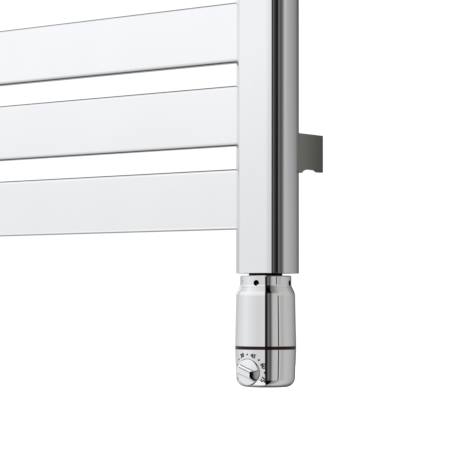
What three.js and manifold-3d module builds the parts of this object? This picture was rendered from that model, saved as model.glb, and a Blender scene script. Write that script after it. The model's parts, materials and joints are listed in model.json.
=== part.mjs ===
// Chrome towel radiator with flat bars, four wall brackets and an electric heater with a thermostat head.
// Millimetres, +Z up. The front faces -Y and X runs to the right as someone in front of it sees it.
// The origin lies on the wall, midway between the four brackets.
import * as THREE from "three";
import { mergeVertices } from "three/addons/utils/BufferGeometryUtils.js";
import Module from "manifold-3d";

// ---------------------------------------------------------------- driving dimensions

// Gaps
const seatGap = 0.1; // between flat faces that rest on each other
const slipGap = 0.3; // round a piece that slides into another
const brazeGap = 0.15; // round a bar in its slot, filled by the braze

// Radiator
const radiatorWidth = 500; // over both collectors
const wallToFront = 82; // from the wall to the collectors' front faces
const endMargin = 37.5; // from a collector's end to the nearest bar
const axisDepth = 16.5; // thread and bar centre lines, behind the front faces

// Collector section, seen from above
const collectorWidth = 50;
const collectorDepth = 44;
const collectorWall = 1.5;
const frontCornerRadius = 8.5;
const bevelTurn = 41; // degrees between the bevel and the front face
const bevelLength = 4.6;
const edgeRadius = 22; // of the blunt edge between the bevel and the side
const sideTurn = 50; // degrees turned where the blunt edge gives way to the side
const sideRadius = 5.5;
const flankTurn = 122; // degrees turned where the side's long curve gives way to the back corner
const backFlat = 22;

// Bars
const barHeight = 50;
const barThickness = 11;
const barEdgeRadius = 3;
const barWall = 1.2;
const barPitch = 70;
const barsPerGroup = 3;
const barGroups = 3;
const towelGap = 90; // clear height between two groups
const barInsertion = 3; // how far a bar reaches past the collector's wall

// Collector ends, with sockets for half-inch pipe threads
const capThickness = 3;
const socketBore = 21.2;
const socketOuter = 28;
const socketLength = 14;
const threadDiameter = 20.6;
const threadLength = 11;
const gasketOuter = 27.8;
const gasketThickness = 1.8;

// Blanking plug and air vent
const plugHead = 27;
const plugHeadHeight = 5;
const plugDome = 1.2;
const socketKey = 5; // across the flats of the plug's key socket
const socketKeyDepth = 3.5;
const ventHex = 24; // across flats
const ventHexHeight = 5;
const ventScrewHead = 8;
const ventScrewHeadHeight = 4;
const ventScrewShank = 5;
const ventScrewLength = 15;
const ventSlotWidth = 1.2;
const ventSlotDepth = 1.6;

// Wall brackets
const bracketInset = 103.5; // from a collector's end to the bracket's centre line
const bracketWidth = 22;
const bracketHeight = 31.5;
const bracketCheek = 2;
const bracketFloor = 4.3;
const bracketFrontWall = 3;
const bracketWallGap = 0.6; // from the bracket's rear edge to the wall
const reliefHeight = 2.3; // how far the underside is raised between its two feet
const frontFootLength = 12.5;
const rearFootLength = 7.5;
const footSlope = 1.6; // run of the slope at each foot
const anchorDepth = 20;
const anchorChamfer = 1.5;
const wallScrewHole = 5.5;
const wallScrewSink = 11;
const wallScrewSinkDepth = 3.5;
const clampScrewShank = 6;
const clampScrewReach = 7; // how far it enters the collector
const clampScrewHead = 10;
const clampScrewHeadHeight = 6;
const clampScrewKey = 5;
const clampScrewKeyDepth = 3;
const clampBushDiameter = 12;
const clampBushLength = 9;
const grubScrewDiameter = 5;
const grubScrewSetback = 14; // from the wall
const grubScrewLength = 6;
const grubScrewPoint = 1.4;
const grubScrewKey = 2.5;
const grubScrewKeyDepth = 2;

// Thermostat head, with heights counted down from the collector's end
const collarDiameter = 42.4;
const collarHeight = 9.7;
const collarBevel = 0.8;
const flareHeight = 1.5; // of the collar's foot, which widens into the shoulder
const collarTop = 2.3; // thickness of its top plate
const spannerHole = 4.8;
const spannerHoleDepth = 4.4;
const spannerHoleDrop = 6.1; // below the collar's top
const spannerTurn = 16; // degrees from the front towards the right
const heaterHex = 27; // across flats
const heaterHexHeight = 5;
const heaterHub = 22;
const heaterHubHeight = 3.5;
const shoulderDiameter = 48.6;
const shoulderHeight = 8.6; // from the start of the collar's flare
const shoulderRadius = 9.5;
const shoulderTurn = 26; // degrees between the shoulder's slope and the head's axis
const ringDiameter = 50.3;
const ringHeight = 2.4;
const ringDrop = 59.2; // ring's middle below the collar's top
const ringSleeveHeight = 10;
const ringSleeveWall = 1.5;
const baseDiameter = 48.7; // where the bottom corner starts
const baseCornerRadius = 8;
const baseCrown = 0.4;
const headHeight = 92; // from the collar's top to the bottom
const shellWall = 2;
const lipHeight = 2.4; // of the upper housing's spigot inside the collar
const lipWall = 1.8;
const lipDiameter = 36.8;

// Knob, its well and its spindle, along -Y from the head's axis
const knobDiameter = 21.2;
const knobRise = 13.3; // knob's centre above the bottom
const knobSetback = 0.4; // its rim behind the ring's outside
const knobCrown = 1; // how far its face rises from the rim to the middle
const knobEdge = 0.5;
const knobClearance = 0.4;
const wellDepth = 7.2; // behind the knob's rim
const wellWall = 1.8;
const gripHeight = 1.8;
const gripTopWidth = 3.8;
const gripSlope = 2.2;
const notchInner = 4; // from the knob's centre to the notch's inner wall
const notchSpread = 46; // degrees
const notchDepth = 3.4;
const pointerTurn = 160; // degrees anticlockwise from the right, seen from the front
const spindleDiameter = 6;
const spindleFlat = 1.2;
const spindleBack = 6; // its rear end in front of the head's axis
const spindleInKnob = 4.5;

// Inside the head
const rodDiameter = 10;
const rodLength = 300;
const rodOffset = -4.3;
const rodPinDiameter = 2.4;
const rodPinLength = 6;
const pocketDiameter = 6;
const pocketBore = 4.6;
const pocketLength = 150;
const pocketOffset = 5.5;
const bulbDiameter = 3.6;
const bulbLength = 80;
const capillaryDiameter = 1.6;
const chassisDiameter = 30;
const chassisThickness = 2;
const webThickness = 1.8;
const webWidth = 30;
const webSetback = 2.1; // behind the head's axis
const thermostatWidth = 26;
const thermostatHeight = 19;
const thermostatDepth = 14;
const thermostatBush = 10;
const terminalWidth = 22;
const terminalDepth = 9;
const terminalHeight = 16;
const terminalDrop = 28;
const terminalWell = 3.2;
const terminalCount = 3;
const cutoutDiameter = 8;
const cutoutThickness = 4;
const lampDiameter = 4;
const baseScrewSetback = 7.3;
const baseScrewShank = 2.4;
const baseScrewHead = 5.6;
const baseScrewHeadHeight = 1.5;
const baseScrewLength = 12;
const baseScrewBoss = 6.4;
const baseScrewBossHeight = 14;

// Cable gland at the back of the upper housing
const glandDrop = 48;
const glandBody = 12;
const glandFlange = 15;
const glandFlangeThickness = 2;
const glandNose = 9;
const glandNoseTip = 7.6;
const glandNoseLength = 9;
const glandBore = 6.4;
const glandSealThickness = 3;

// Fineness
const headSides = 36;
const socketSides = 24;
const smallSides = 16;
const rodSides = 12;
const arcSteps = 2; // half the facets of each arc in an outline

// ---------------------------------------------------------------- derived places

const collectorX = (radiatorWidth - collectorWidth) / 2;
const groupHeight = (barsPerGroup - 1) * barPitch + barHeight;
const collectorHeight = 2 * endMargin + barGroups * groupHeight + (barGroups - 1) * towelGap;
const bottomZ = -collectorHeight / 2;
const frontY = -wallToFront;
const axisY = frontY + axisDepth;
const backY = frontY + collectorDepth;
const bracketZ = collectorHeight / 2 - bracketInset;
const barLength = 2 * (collectorX - collectorWidth / 2 + collectorWall + barInsertion);

// Heights in the head's own frame, whose Z is zero at the collector's end
const collarZ = -gasketThickness - 2 * seatGap;
const collarEndZ = collarZ - collarHeight;
const ringTopZ = collarZ - ringDrop + ringHeight / 2;
const ringEndZ = ringTopZ - ringHeight;
const baseZ = collarZ - headHeight;
const knobZ = baseZ + knobRise;
const knobFace = ringDiameter / 2 - knobSetback;
const wellFloor = knobFace - wellDepth;
const hexTopZ = collarZ - collarTop - seatGap;
const hubEndZ = hexTopZ - heaterHexHeight - heaterHubHeight;
const chassisZ = hubEndZ - seatGap;
const chassisEndZ = chassisZ - chassisThickness;
const ringInner = ringDiameter / 2 - shellWall - slipGap;
const lampZ = (ringTopZ + ringEndZ) / 2;
const lampY = webSetback + webThickness / 2;
const lampEnd = Math.sqrt((ringInner - ringSleeveWall) ** 2 - (lampY + lampDiameter / 2) ** 2) - slipGap;

// ---------------------------------------------------------------- solids

const wasm = await Module();
wasm.setup();

// A closed geometry as a manifold-3d solid.
function toSolid(geometry) {
  const bare = geometry.clone();
  bare.deleteAttribute("normal");
  bare.deleteAttribute("uv");
  const merged = mergeVertices(bare, 1e-4);
  return new wasm.Manifold(
    new wasm.Mesh({
      numProp: 3,
      vertProperties: merged.attributes.position.array,
      triVerts: new Uint32Array(merged.index.array),
    }),
  );
}

// A manifold-3d solid as a plain geometry.
function toGeometry(solid) {
  const { vertProperties, triVerts } = solid.getMesh();
  const indexed = new THREE.BufferGeometry()
    .setAttribute("position", new THREE.BufferAttribute(vertProperties, 3))
    .setIndex(new THREE.BufferAttribute(triVerts, 1));
  const flat = indexed.toNonIndexed();
  flat.computeVertexNormals();
  return flat;
}

const cut = (body, ...tools) =>
  toGeometry(tools.reduce((left, tool) => left.subtract(toSolid(tool)), toSolid(body)));
const join = (body, ...others) =>
  toGeometry(others.reduce((sum, other) => sum.add(toSolid(other)), toSolid(body)));
const common = (body, other) => toGeometry(toSolid(body).intersect(toSolid(other)));

// ---------------------------------------------------------------- basic forms

const degrees = Math.PI / 180;

// A rectangle centred on the origin with rounded corners; grow moves its outline outwards.
function roundedRectangle(width, height, radius, grow = 0) {
  const x = width / 2 - radius;
  const y = height / 2 - radius;
  const shape = new THREE.Shape();
  [[x, -y], [x, y], [-x, y], [-x, -y]].forEach(([cornerX, cornerY], quarter) => {
    const start = (quarter - 1) * 90 * degrees;
    shape.absarc(cornerX, cornerY, radius + grow, start, start + 90 * degrees, false);
  });
  shape.closePath();
  return shape;
}

function polygon(points) {
  return new THREE.Shape(points.map(([x, y]) => new THREE.Vector2(x, y)));
}

function hexagon(acrossFlats) {
  const corner = acrossFlats / Math.sqrt(3);
  const angles = [0, 60, 120, 180, 240, 300].map((a) => a * degrees);
  return polygon(angles.map((a) => [corner * Math.cos(a), corner * Math.sin(a)]));
}

// An outline pushed up along Z, from one height to the other.
function extruded(shape, fromZ, toZ) {
  const settings = { depth: toZ - fromZ, bevelEnabled: false, curveSegments: arcSteps };
  return new THREE.ExtrudeGeometry(shape, settings).translate(0, 0, fromZ);
}

// A profile of [radius, z] points, taken anticlockwise, turned round the Z axis.
function turned(profile, sides) {
  const points = profile.map(([r, z]) => new THREE.Vector2(r, z));
  return new THREE.LatheGeometry(points, sides).rotateX(Math.PI / 2);
}

// A turned ring or tube between two radii.
function tube(inner, outer, fromZ, toZ, sides) {
  const corners = [[inner, fromZ], [outer, fromZ], [outer, toZ], [inner, toZ], [inner, fromZ]];
  return turned(corners, sides);
}

function rod(radius, fromZ, toZ, sides) {
  return turned([[0, fromZ], [radius, fromZ], [radius, toZ], [0, toZ]], sides);
}

// Turns a form that was made along +Z so that it points along -Y, the front.
const towardsFront = (geometry) => geometry.rotateX(Math.PI / 2);

// Turns a form that was made along +Z so that it points along +Y, the wall.
const towardsWall = (geometry) => geometry.rotateX(-Math.PI / 2);

function block(width, depth, height) {
  return new THREE.BoxGeometry(width, depth, height);
}

// ---------------------------------------------------------------- materials and placing

const finishes = {
  chrome: { color: 0xe6e8ea, roughness: 0.06, metalness: 1 },
  steel: { color: 0xb9bcbf, roughness: 0.3, metalness: 1 },
  brass: { color: 0xc8a454, roughness: 0.3, metalness: 1 },
  copper: { color: 0xb9714a, roughness: 0.3, metalness: 1 },
  rubber: { color: 0x101011, roughness: 0.8, metalness: 0 },
  plastic: { color: 0xd8d8d4, roughness: 0.55, metalness: 0 },
  darkPlastic: { color: 0x232427, roughness: 0.5, metalness: 0 },
  redLens: { color: 0x3a0412, roughness: 0.12, metalness: 0 },
};

const radiator = new THREE.Group();

function group(parent, x, y, z) {
  const made = new THREE.Group();
  made.position.set(x, y, z);
  parent.add(made);
  return made;
}

function piece(parent, name, geometry, finish, x = 0, y = 0, z = 0) {
  const mesh = new THREE.Mesh(geometry, new THREE.MeshStandardMaterial(finishes[finish]));
  mesh.name = name;
  mesh.position.set(x, y, z);
  parent.add(mesh);
  return mesh;
}

// ---------------------------------------------------------------- collectors and bars

// Heights of the bars' middles above the collectors' lower ends, from the lowest up.
const barHeights = [];
for (let set = 0; set < barGroups; set++) {
  for (let step = 0; step < barsPerGroup; step++) {
    const below = endMargin + set * (groupHeight + towelGap);
    barHeights.push(below + step * barPitch + barHeight / 2);
  }
}

// The right half of the section as arcs [radius, turn where it ends, facets], from the front flat to the back
// one. Each arc starts where the last one ends, on the same tangent, and the bevel follows the first.
// The side reaches the full width where it has turned by 90 degrees, and the front flat fills what is left of
// the width. The last two radii close the section.
const bendX = (from, to) => Math.sin(to * degrees) - Math.sin(from * degrees);
const bendY = (from, to) => Math.cos(from * degrees) - Math.cos(to * degrees);
const sideX = frontCornerRadius * bendX(0, bevelTurn) + bevelLength * Math.cos(bevelTurn * degrees)
  + edgeRadius * bendX(bevelTurn, sideTurn) + sideRadius * bendX(sideTurn, 90);
const sideY = frontCornerRadius * bendY(0, bevelTurn) + bevelLength * Math.sin(bevelTurn * degrees)
  + edgeRadius * bendY(bevelTurn, sideTurn) + sideRadius * bendY(sideTurn, 90);
const frontFlat = collectorWidth - 2 * sideX;
const inwardsLeft = (backFlat - collectorWidth) / 2;
const depthLeft = collectorDepth - sideY;
const flankBend = [bendX(90, flankTurn), bendY(90, flankTurn)];
const backBend = [bendX(flankTurn, 180), bendY(flankTurn, 180)];
const spread = flankBend[0] * backBend[1] - flankBend[1] * backBend[0];
const flankRadius = (inwardsLeft * backBend[1] - depthLeft * backBend[0]) / spread;
const backCornerRadius = (depthLeft * flankBend[0] - inwardsLeft * flankBend[1]) / spread;
const sectionArcs = [
  [frontCornerRadius, bevelTurn, 3],
  [edgeRadius, sideTurn, 1],
  [sideRadius, 90, 2],
  [flankRadius, flankTurn, 3],
  [backCornerRadius, 180, 3],
];

// Points [x, y, turn] along the right half. Y is zero at the front face, and turn is the outward direction
// in degrees, from the front round to the back.
function sectionHalf() {
  let [x, y, turn] = [frontFlat / 2, 0, 0];
  const points = [[x, y, turn]];
  sectionArcs.forEach(([radius, end, facets], arc) => {
    const start = turn;
    for (let facet = 1; facet <= facets; facet++) {
      const next = start + ((end - start) * facet) / facets;
      x += radius * bendX(turn, next);
      y += radius * bendY(turn, next);
      turn = next;
      points.push([x, y, turn]);
    }
    if (arc === 0) {
      x += bevelLength * Math.cos(turn * degrees);
      y += bevelLength * Math.sin(turn * degrees);
      points.push([x, y, turn]);
    }
  });
  return points;
}

// The whole section; grow moves its outline outwards.
function collectorOutline(grow = 0) {
  const right = sectionHalf().map(([x, y, turn]) => [
    x + grow * Math.sin(turn * degrees),
    y - grow * Math.cos(turn * degrees),
  ]);
  return polygon([...right, ...right.toReversed().map(([x, y]) => [-x, y])]);
}

// A bar's outline is drawn upright and laid along X.
const barOutline = (grow) => roundedRectangle(barHeight, barThickness, barEdgeRadius, grow);
const alongX = (shape, fromX, toX) => extruded(shape, fromX, toX).rotateY(Math.PI / 2);

// side is 1 for the right collector and -1 for the left one.
function collector(side) {
  const outline = collectorOutline();
  outline.holes.push(collectorOutline(-collectorWall));
  // The slots go through the wall that faces the other collector.
  const slotReach = [-collectorWidth / 2 - 1, -collectorWidth / 4];
  const [slotFrom, slotTo] = side > 0 ? slotReach : slotReach.map((x) => -x).toReversed();
  const slots = barHeights.map((z) =>
    alongX(barOutline(brazeGap), slotFrom, slotTo).translate(0, axisDepth, z),
  );
  const bushes = [bracketInset, collectorHeight - bracketInset].map((z) =>
    towardsFront(rod(clampBushDiameter / 2, collectorWall / 2, clampBushLength, smallSides))
      .translate(0, collectorDepth, z),
  );
  const bores = [bracketInset, collectorHeight - bracketInset].map((z) =>
    towardsFront(rod(clampScrewShank / 2 + slipGap, -1, clampScrewReach + slipGap, rodSides))
      .translate(0, collectorDepth, z),
  );
  return cut(join(extruded(outline, 0, collectorHeight), ...bushes), ...slots, ...bores);
}

function flatBar() {
  const outline = barOutline(0);
  outline.holes.push(barOutline(-barWall));
  return alongX(outline, -barLength / 2, barLength / 2);
}

// The plate that closes a collector's end. outward is 1 at the top and -1 at the bottom.
// Z is zero at the end itself.
const capOutline = () => collectorOutline(-collectorWall - seatGap);
const inwards = (outward, near, far) => (outward > 0 ? [-far, -near] : [near, far]);

function plainCap(outward) {
  return extruded(capOutline(), ...inwards(outward, 0, capThickness));
}

function socketCap(outward) {
  const [bossFrom, bossTo] = inwards(outward, capThickness / 2, socketLength);
  const boss = rod(socketOuter / 2, bossFrom, bossTo, socketSides).translate(0, axisDepth, 0);
  const bore = rod(socketBore / 2, -socketLength - 1, socketLength + 1, socketSides)
    .translate(0, axisDepth, 0);
  return cut(join(plainCap(outward), boss), bore);
}

const gasket = (fromZ) =>
  tube(socketBore / 2, gasketOuter / 2, fromZ, fromZ + gasketThickness, socketSides);

function blankingPlug() {
  const top = collarZ;
  const end = top - plugHeadHeight;
  const edge = plugHead / 2;
  const profile = [
    [0, end - plugDome],
    [edge * 0.55, end - plugDome * 0.7],
    [edge - plugDome, end],
    [edge, end + plugDome],
    [edge, top],
    [threadDiameter / 2, top],
    [threadDiameter / 2, threadLength],
    [0, threadLength],
  ];
  const key = extruded(hexagon(socketKey), end - plugDome - 1, end - plugDome + socketKeyDepth);
  return cut(turned(profile, socketSides), key);
}

function ventBody() {
  const seatZ = gasketThickness + 2 * seatGap;
  const hex = extruded(hexagon(ventHex), seatZ, seatZ + ventHexHeight);
  const thread = rod(threadDiameter / 2, -threadLength, seatZ + 1, socketSides);
  const headBore = rod(ventScrewHead / 2 + slipGap, seatZ + ventHexHeight - ventScrewHeadHeight,
    seatZ + ventHexHeight + 1, smallSides);
  const shankBore = rod(ventScrewShank / 2 + slipGap, -threadLength - 1, seatZ + 2, smallSides);
  return cut(join(hex, thread), headBore, shankBore);
}

function ventScrew() {
  const seatZ = gasketThickness + 2 * seatGap + ventHexHeight - ventScrewHeadHeight + slipGap;
  const head = ventScrewHead / 2;
  const shank = ventScrewShank / 2;
  const profile = [
    [0, seatZ - ventScrewLength],
    [shank * 0.4, seatZ - ventScrewLength],
    [shank, seatZ - ventScrewLength + shank],
    [shank, seatZ],
    [head, seatZ],
    [head, seatZ + ventScrewHeadHeight - 0.5],
    [head - 0.5, seatZ + ventScrewHeadHeight],
    [0, seatZ + ventScrewHeadHeight],
  ];
  const slot = block(2 * ventScrewHead, ventSlotWidth, 2 * ventSlotDepth)
    .translate(0, 0, seatZ + ventScrewHeadHeight);
  return cut(turned(profile, smallSides), slot);
}

const core = group(radiator, 0, frontY, bottomZ);
for (const [side, word] of [[1, "right"], [-1, "left"]]) {
  piece(core, "collector_" + word, collector(side), "chrome", side * collectorX);
}
barHeights.forEach((z, i) => piece(core, "bar_" + (i + 1), flatBar(), "chrome", 0, axisDepth, z));
piece(core, "cap_bottom_right", socketCap(-1), "steel", collectorX);
piece(core, "cap_bottom_left", socketCap(-1), "steel", -collectorX);
piece(core, "cap_top_right", plainCap(1), "steel", collectorX, 0, collectorHeight);
piece(core, "cap_top_left", socketCap(1), "steel", -collectorX, 0, collectorHeight);

const blanking = group(core, -collectorX, axisDepth, 0);
piece(blanking, "blanking_gasket", gasket(-seatGap - gasketThickness), "rubber");
piece(blanking, "blanking_plug", blankingPlug(), "chrome");

const vent = group(core, -collectorX, axisDepth, collectorHeight);
piece(vent, "vent_gasket", gasket(seatGap), "rubber");
piece(vent, "vent_body", ventBody(), "chrome");
piece(vent, "vent_screw", ventScrew(), "brass");

// ---------------------------------------------------------------- wall brackets
// A bracket's own frame has Y zero on the wall and Z zero on its centre line.

const bracketFrontY = backY + seatGap;
const bracketRearY = -bracketWallGap;
const cavityHeight = bracketHeight - bracketCheek - bracketFloor;
const cavityZ = (bracketFloor - bracketCheek) / 2;
const cavityWidth = bracketWidth - 2 * bracketCheek;

// The side outline has a foot at each end of its underside.
function bracketShell() {
  const top = bracketHeight / 2;
  const foot = -top;
  const raised = foot + reliefHeight;
  const reliefFrom = bracketFrontY + frontFootLength;
  const reliefTo = bracketRearY - rearFootLength;
  const outline = polygon([
    [bracketFrontY, foot],
    [reliefFrom, foot],
    [reliefFrom + footSlope, raised],
    [reliefTo - footSlope, raised],
    [reliefTo, foot],
    [bracketRearY, foot],
    [bracketRearY, top],
    [bracketFrontY, top],
  ]);
  // The outline's first axis becomes Y, its second Z, and it is pushed along X.
  const upright = new THREE.Matrix4().makeBasis(
    new THREE.Vector3(0, 1, 0),
    new THREE.Vector3(0, 0, 1),
    new THREE.Vector3(1, 0, 0),
  );
  const body = extruded(outline, -bracketWidth / 2, bracketWidth / 2).applyMatrix4(upright);
  const cavityFrom = bracketFrontY + bracketFrontWall;
  const cavityLength = 1 - cavityFrom;
  const cavity = block(cavityWidth, cavityLength, cavityHeight)
    .translate(0, cavityFrom + cavityLength / 2, cavityZ);
  const screwHole = towardsWall(rod(clampScrewShank / 2 + slipGap, -1, bracketFrontWall + 1, rodSides))
    .translate(0, bracketFrontY, 0);
  const grubHole = rod(grubScrewDiameter / 2 + seatGap, -bracketHeight, cavityZ, rodSides)
    .translate(0, -grubScrewSetback, 0);
  return cut(body, cavity, screwHole, grubHole);
}

function wallAnchor() {
  const width = cavityWidth - 2 * slipGap;
  const height = cavityHeight - 2 * slipGap;
  const x = width / 2;
  const z = height / 2;
  const c = anchorChamfer;
  const outline = polygon([
    [x, -z + c], [x, z - c], [x - c, z], [-x + c, z], [-x, z - c], [-x, -z + c], [-x + c, -z], [x - c, -z],
  ]);
  const body = towardsFront(extruded(outline, 0, anchorDepth));
  const hole = towardsFront(rod(wallScrewHole / 2, -1, anchorDepth + 1, rodSides));
  const sink = towardsFront(
    turned(
      [
        [0, anchorDepth - wallScrewSinkDepth],
        [wallScrewHole / 2, anchorDepth - wallScrewSinkDepth],
        [wallScrewSink / 2, anchorDepth],
        [wallScrewSink / 2, anchorDepth + 1],
        [0, anchorDepth + 1],
      ],
      rodSides,
    ),
  );
  // A groove across the underside takes the grub screw's point.
  const groove = block(2 * width, 2 * grubScrewPoint, 2 * grubScrewPoint)
    .rotateX(Math.PI / 4)
    .translate(0, -grubScrewSetback, -z);
  return cut(body, hole, sink, groove);
}

function clampScrew() {
  const seatZ = bracketFrontWall + seatGap;
  const head = rod(clampScrewHead / 2, seatZ, seatZ + clampScrewHeadHeight, smallSides);
  const shank = rod(clampScrewShank / 2, -seatGap - clampScrewReach, seatZ + 1, rodSides);
  const key = extruded(hexagon(clampScrewKey), seatZ + clampScrewHeadHeight - clampScrewKeyDepth,
    seatZ + clampScrewHeadHeight + 1);
  return towardsWall(cut(join(head, shank), key));
}

// Points up at the anchor's groove.
function grubScrew() {
  const radius = grubScrewDiameter / 2;
  const pointZ = cavityZ - cavityHeight / 2 + grubScrewPoint * Math.SQRT2;
  const profile = [
    [0, pointZ - grubScrewLength],
    [radius, pointZ - grubScrewLength],
    [radius, pointZ - 2 * grubScrewPoint],
    [radius - grubScrewPoint, pointZ - grubScrewPoint],
    [0, pointZ],
  ];
  const key = extruded(hexagon(grubScrewKey), pointZ - grubScrewLength - 1,
    pointZ - grubScrewLength + grubScrewKeyDepth);
  return cut(turned(profile, rodSides), key);
}

for (const [side, across] of [[1, "right"], [-1, "left"]]) {
  for (const [level, height] of [[1, "upper"], [-1, "lower"]]) {
    const place = "_" + height + "_" + across;
    const bracket = group(radiator, side * collectorX, 0, level * bracketZ);
    piece(bracket, "bracket" + place, bracketShell(), "chrome");
    piece(bracket, "wall_anchor" + place, wallAnchor(), "steel", 0, 0, cavityZ);
    piece(bracket, "clamp_screw" + place, clampScrew(), "steel", 0, bracketFrontY, 0);
    piece(bracket, "grub_screw" + place, grubScrew(), "steel", 0, -grubScrewSetback, 0);
  }
}

// ---------------------------------------------------------------- heater and thermostat head
// The head's own frame has Z zero at the collector's end, and its axis is the thread's.

const head = group(radiator, collectorX, axisY, bottomZ);

function heaterPlug() {
  const thread = rod(threadDiameter / 2, hexTopZ - 1, threadLength, socketSides);
  const hex = extruded(hexagon(heaterHex), hexTopZ - heaterHexHeight, hexTopZ);
  const hub = rod(heaterHub / 2, hubEndZ, hexTopZ - 1, socketSides);
  const rodBore = rod(rodDiameter / 2 + seatGap, hubEndZ - 1, threadLength + 1, socketSides);
  const pocketBoreTool = rod(pocketDiameter / 2 + seatGap, hubEndZ - 1, threadLength + 1, rodSides);
  return cut(
    join(thread, hex, hub),
    rodBore.translate(rodOffset, 0, 0),
    pocketBoreTool.translate(pocketOffset, 0, 0),
  );
}

function heatingRod() {
  const radius = rodDiameter / 2;
  const pin = rodPinDiameter / 2;
  const profile = [
    [0, chassisEndZ - rodPinLength],
    [pin, chassisEndZ - rodPinLength],
    [pin, chassisEndZ + seatGap],
    [radius, chassisEndZ + seatGap],
    [radius, rodLength - radius],
    [radius * 0.7, rodLength - radius * 0.3],
    [0, rodLength],
  ];
  return turned(profile, socketSides);
}

function sensorPocket() {
  const outer = pocketDiameter / 2;
  const inner = pocketBore / 2;
  const profile = [
    [inner, chassisEndZ + seatGap],
    [outer, chassisEndZ + seatGap],
    [outer, pocketLength - outer],
    [outer * 0.7, pocketLength - outer * 0.3],
    [0, pocketLength],
    [0, pocketLength - outer],
    [inner, pocketLength - outer],
    [inner, chassisEndZ + seatGap],
  ];
  return turned(profile, rodSides);
}

// The collar's foot and the shoulder lie on one slope, which starts here.
const flareZ = collarEndZ + flareHeight;
const footRadius = collarDiameter / 2 + flareHeight * Math.tan(shoulderTurn * degrees);

function spannerCollar() {
  const outer = collarDiameter / 2;
  const rebate = lipDiameter / 2 + slipGap;
  const rebateZ = collarEndZ + lipHeight + seatGap;
  const profile = [
    [0, rebateZ],
    [rebate, rebateZ],
    [rebate, collarEndZ],
    [footRadius, collarEndZ],
    [outer, flareZ],
    [outer, collarZ - collarBevel],
    [outer - collarBevel, collarZ],
    [0, collarZ],
  ];
  const hexPocket = extruded(hexagon(heaterHex + 2 * slipGap), rebateZ - 1, hexTopZ + seatGap);
  const threadHole = rod(threadDiameter / 2 + slipGap, rebateZ - 1, collarZ + 1, socketSides);
  const holes = [0, 90, 180, 270].map((quarter) =>
    towardsFront(rod(spannerHole / 2, outer - spannerHoleDepth, outer + 1, rodSides))
      .rotateZ((spannerTurn + quarter) * degrees)
      .translate(0, 0, collarZ - spannerHoleDrop),
  );
  return cut(turned(profile, headSides), hexPocket, threadHole, ...holes);
}

// The outside of both housings as [radius, z] points from the bottom up:
// crowned base, corner, barrel and shoulder.
function barrelBelow() {
  const radius = baseDiameter / 2;
  const cornerX = radius - baseCornerRadius;
  const cornerZ = baseZ + baseCrown + baseCornerRadius;
  const corner = [-90, -67.5, -45, -22.5, 0].map((a) => [
    cornerX + baseCornerRadius * Math.cos(a * degrees),
    cornerZ + baseCornerRadius * Math.sin(a * degrees),
  ]);
  return [[0, baseZ], ...corner, [ringDiameter / 2, ringEndZ - seatGap]];
}

function barrelAbove() {
  const low = flareZ - shoulderHeight;
  const centre = shoulderDiameter / 2 - shoulderRadius;
  const shoulder = [0, 0.5, 1].map((share) => [
    centre + shoulderRadius * Math.cos(share * shoulderTurn * degrees),
    low + shoulderRadius * Math.sin(share * shoulderTurn * degrees),
  ]);
  return [[ringDiameter / 2, ringTopZ + seatGap], ...shoulder, [footRadius, collarEndZ - seatGap]];
}

function upperHousing() {
  const lip = lipDiameter / 2;
  const lipTop = collarEndZ + lipHeight - seatGap;
  const inside = [
    [lip - lipWall, lipTop],
    [lip - lipWall, collarEndZ - shellWall],
    [shoulderDiameter / 2 - shellWall, flareZ - shoulderHeight - shellWall],
    [ringDiameter / 2 - shellWall, ringTopZ + seatGap],
  ];
  const profile = [...barrelAbove(), [lip, collarEndZ - seatGap], [lip, lipTop], ...inside];
  const glandHole = towardsWall(rod(glandBody / 2 + seatGap, 0, ringDiameter, smallSides))
    .translate(0, 0, -glandDrop);
  return cut(turned([...profile, profile[0]], headSides), glandHole);
}

// The lit ring: a band flush with the housings on a sleeve that joins them inside.
function indicatorRing() {
  const outer = ringDiameter / 2;
  const sleeve = ringInner;
  const inner = sleeve - ringSleeveWall;
  const middle = (ringTopZ + ringEndZ) / 2;
  const high = middle + ringSleeveHeight / 2;
  const low = middle - ringSleeveHeight / 2;
  const profile = [
    [inner, low], [sleeve, low], [sleeve, ringEndZ], [outer, ringEndZ],
    [outer, ringTopZ], [sleeve, ringTopZ], [sleeve, high], [inner, high], [inner, low],
  ];
  return turned(profile, headSides);
}

// The bottom shell, with a well for the knob let into its front and a hole for the spindle.
function lowerHousing() {
  const filled = turned([...barrelBelow(), [0, ringEndZ - seatGap]], headSides);
  const floor = baseZ + baseCrown + shellWall;
  const innerBase = baseDiameter / 2 - shellWall;
  const corner = baseCornerRadius - shellWall;
  const hollow = turned(
    [
      [0, floor],
      [innerBase - corner, floor],
      [innerBase - corner * 0.3, floor + corner * 0.3],
      [innerBase, floor + corner],
      [ringDiameter / 2 - shellWall, ringEndZ - seatGap],
      [ringDiameter / 2 - shellWall, ringEndZ + 1],
      [0, ringEndZ + 1],
    ],
    headSides,
  );
  const shell = cut(filled, hollow);
  const wellRadius = knobDiameter / 2 + knobClearance;
  const cup = towardsFront(rod(wellRadius + wellWall, wellFloor - shellWall, ringDiameter / 2, headSides))
    .translate(0, 0, knobZ);
  const well = towardsFront(rod(wellRadius, wellFloor, ringDiameter, headSides)).translate(0, 0, knobZ);
  const spindleHole = towardsFront(rod(spindleDiameter / 2 + knobClearance, wellFloor - shellWall - 1,
    ringDiameter, smallSides)).translate(0, 0, knobZ);
  const screwHole = turned(
    [
      [0, baseZ - 1],
      [baseScrewHead / 2 + slipGap, baseZ - 1],
      [baseScrewHead / 2 + slipGap, baseZ + baseCrown],
      [baseScrewShank / 2 + slipGap, baseZ + baseCrown + baseScrewHeadHeight],
      [baseScrewShank / 2 + slipGap, floor + 1],
      [0, floor + 1],
    ],
    smallSides,
  ).translate(0, baseScrewSetback, 0);
  return cut(join(shell, common(cup, filled)), well, spindleHole, screwHole);
}

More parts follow.
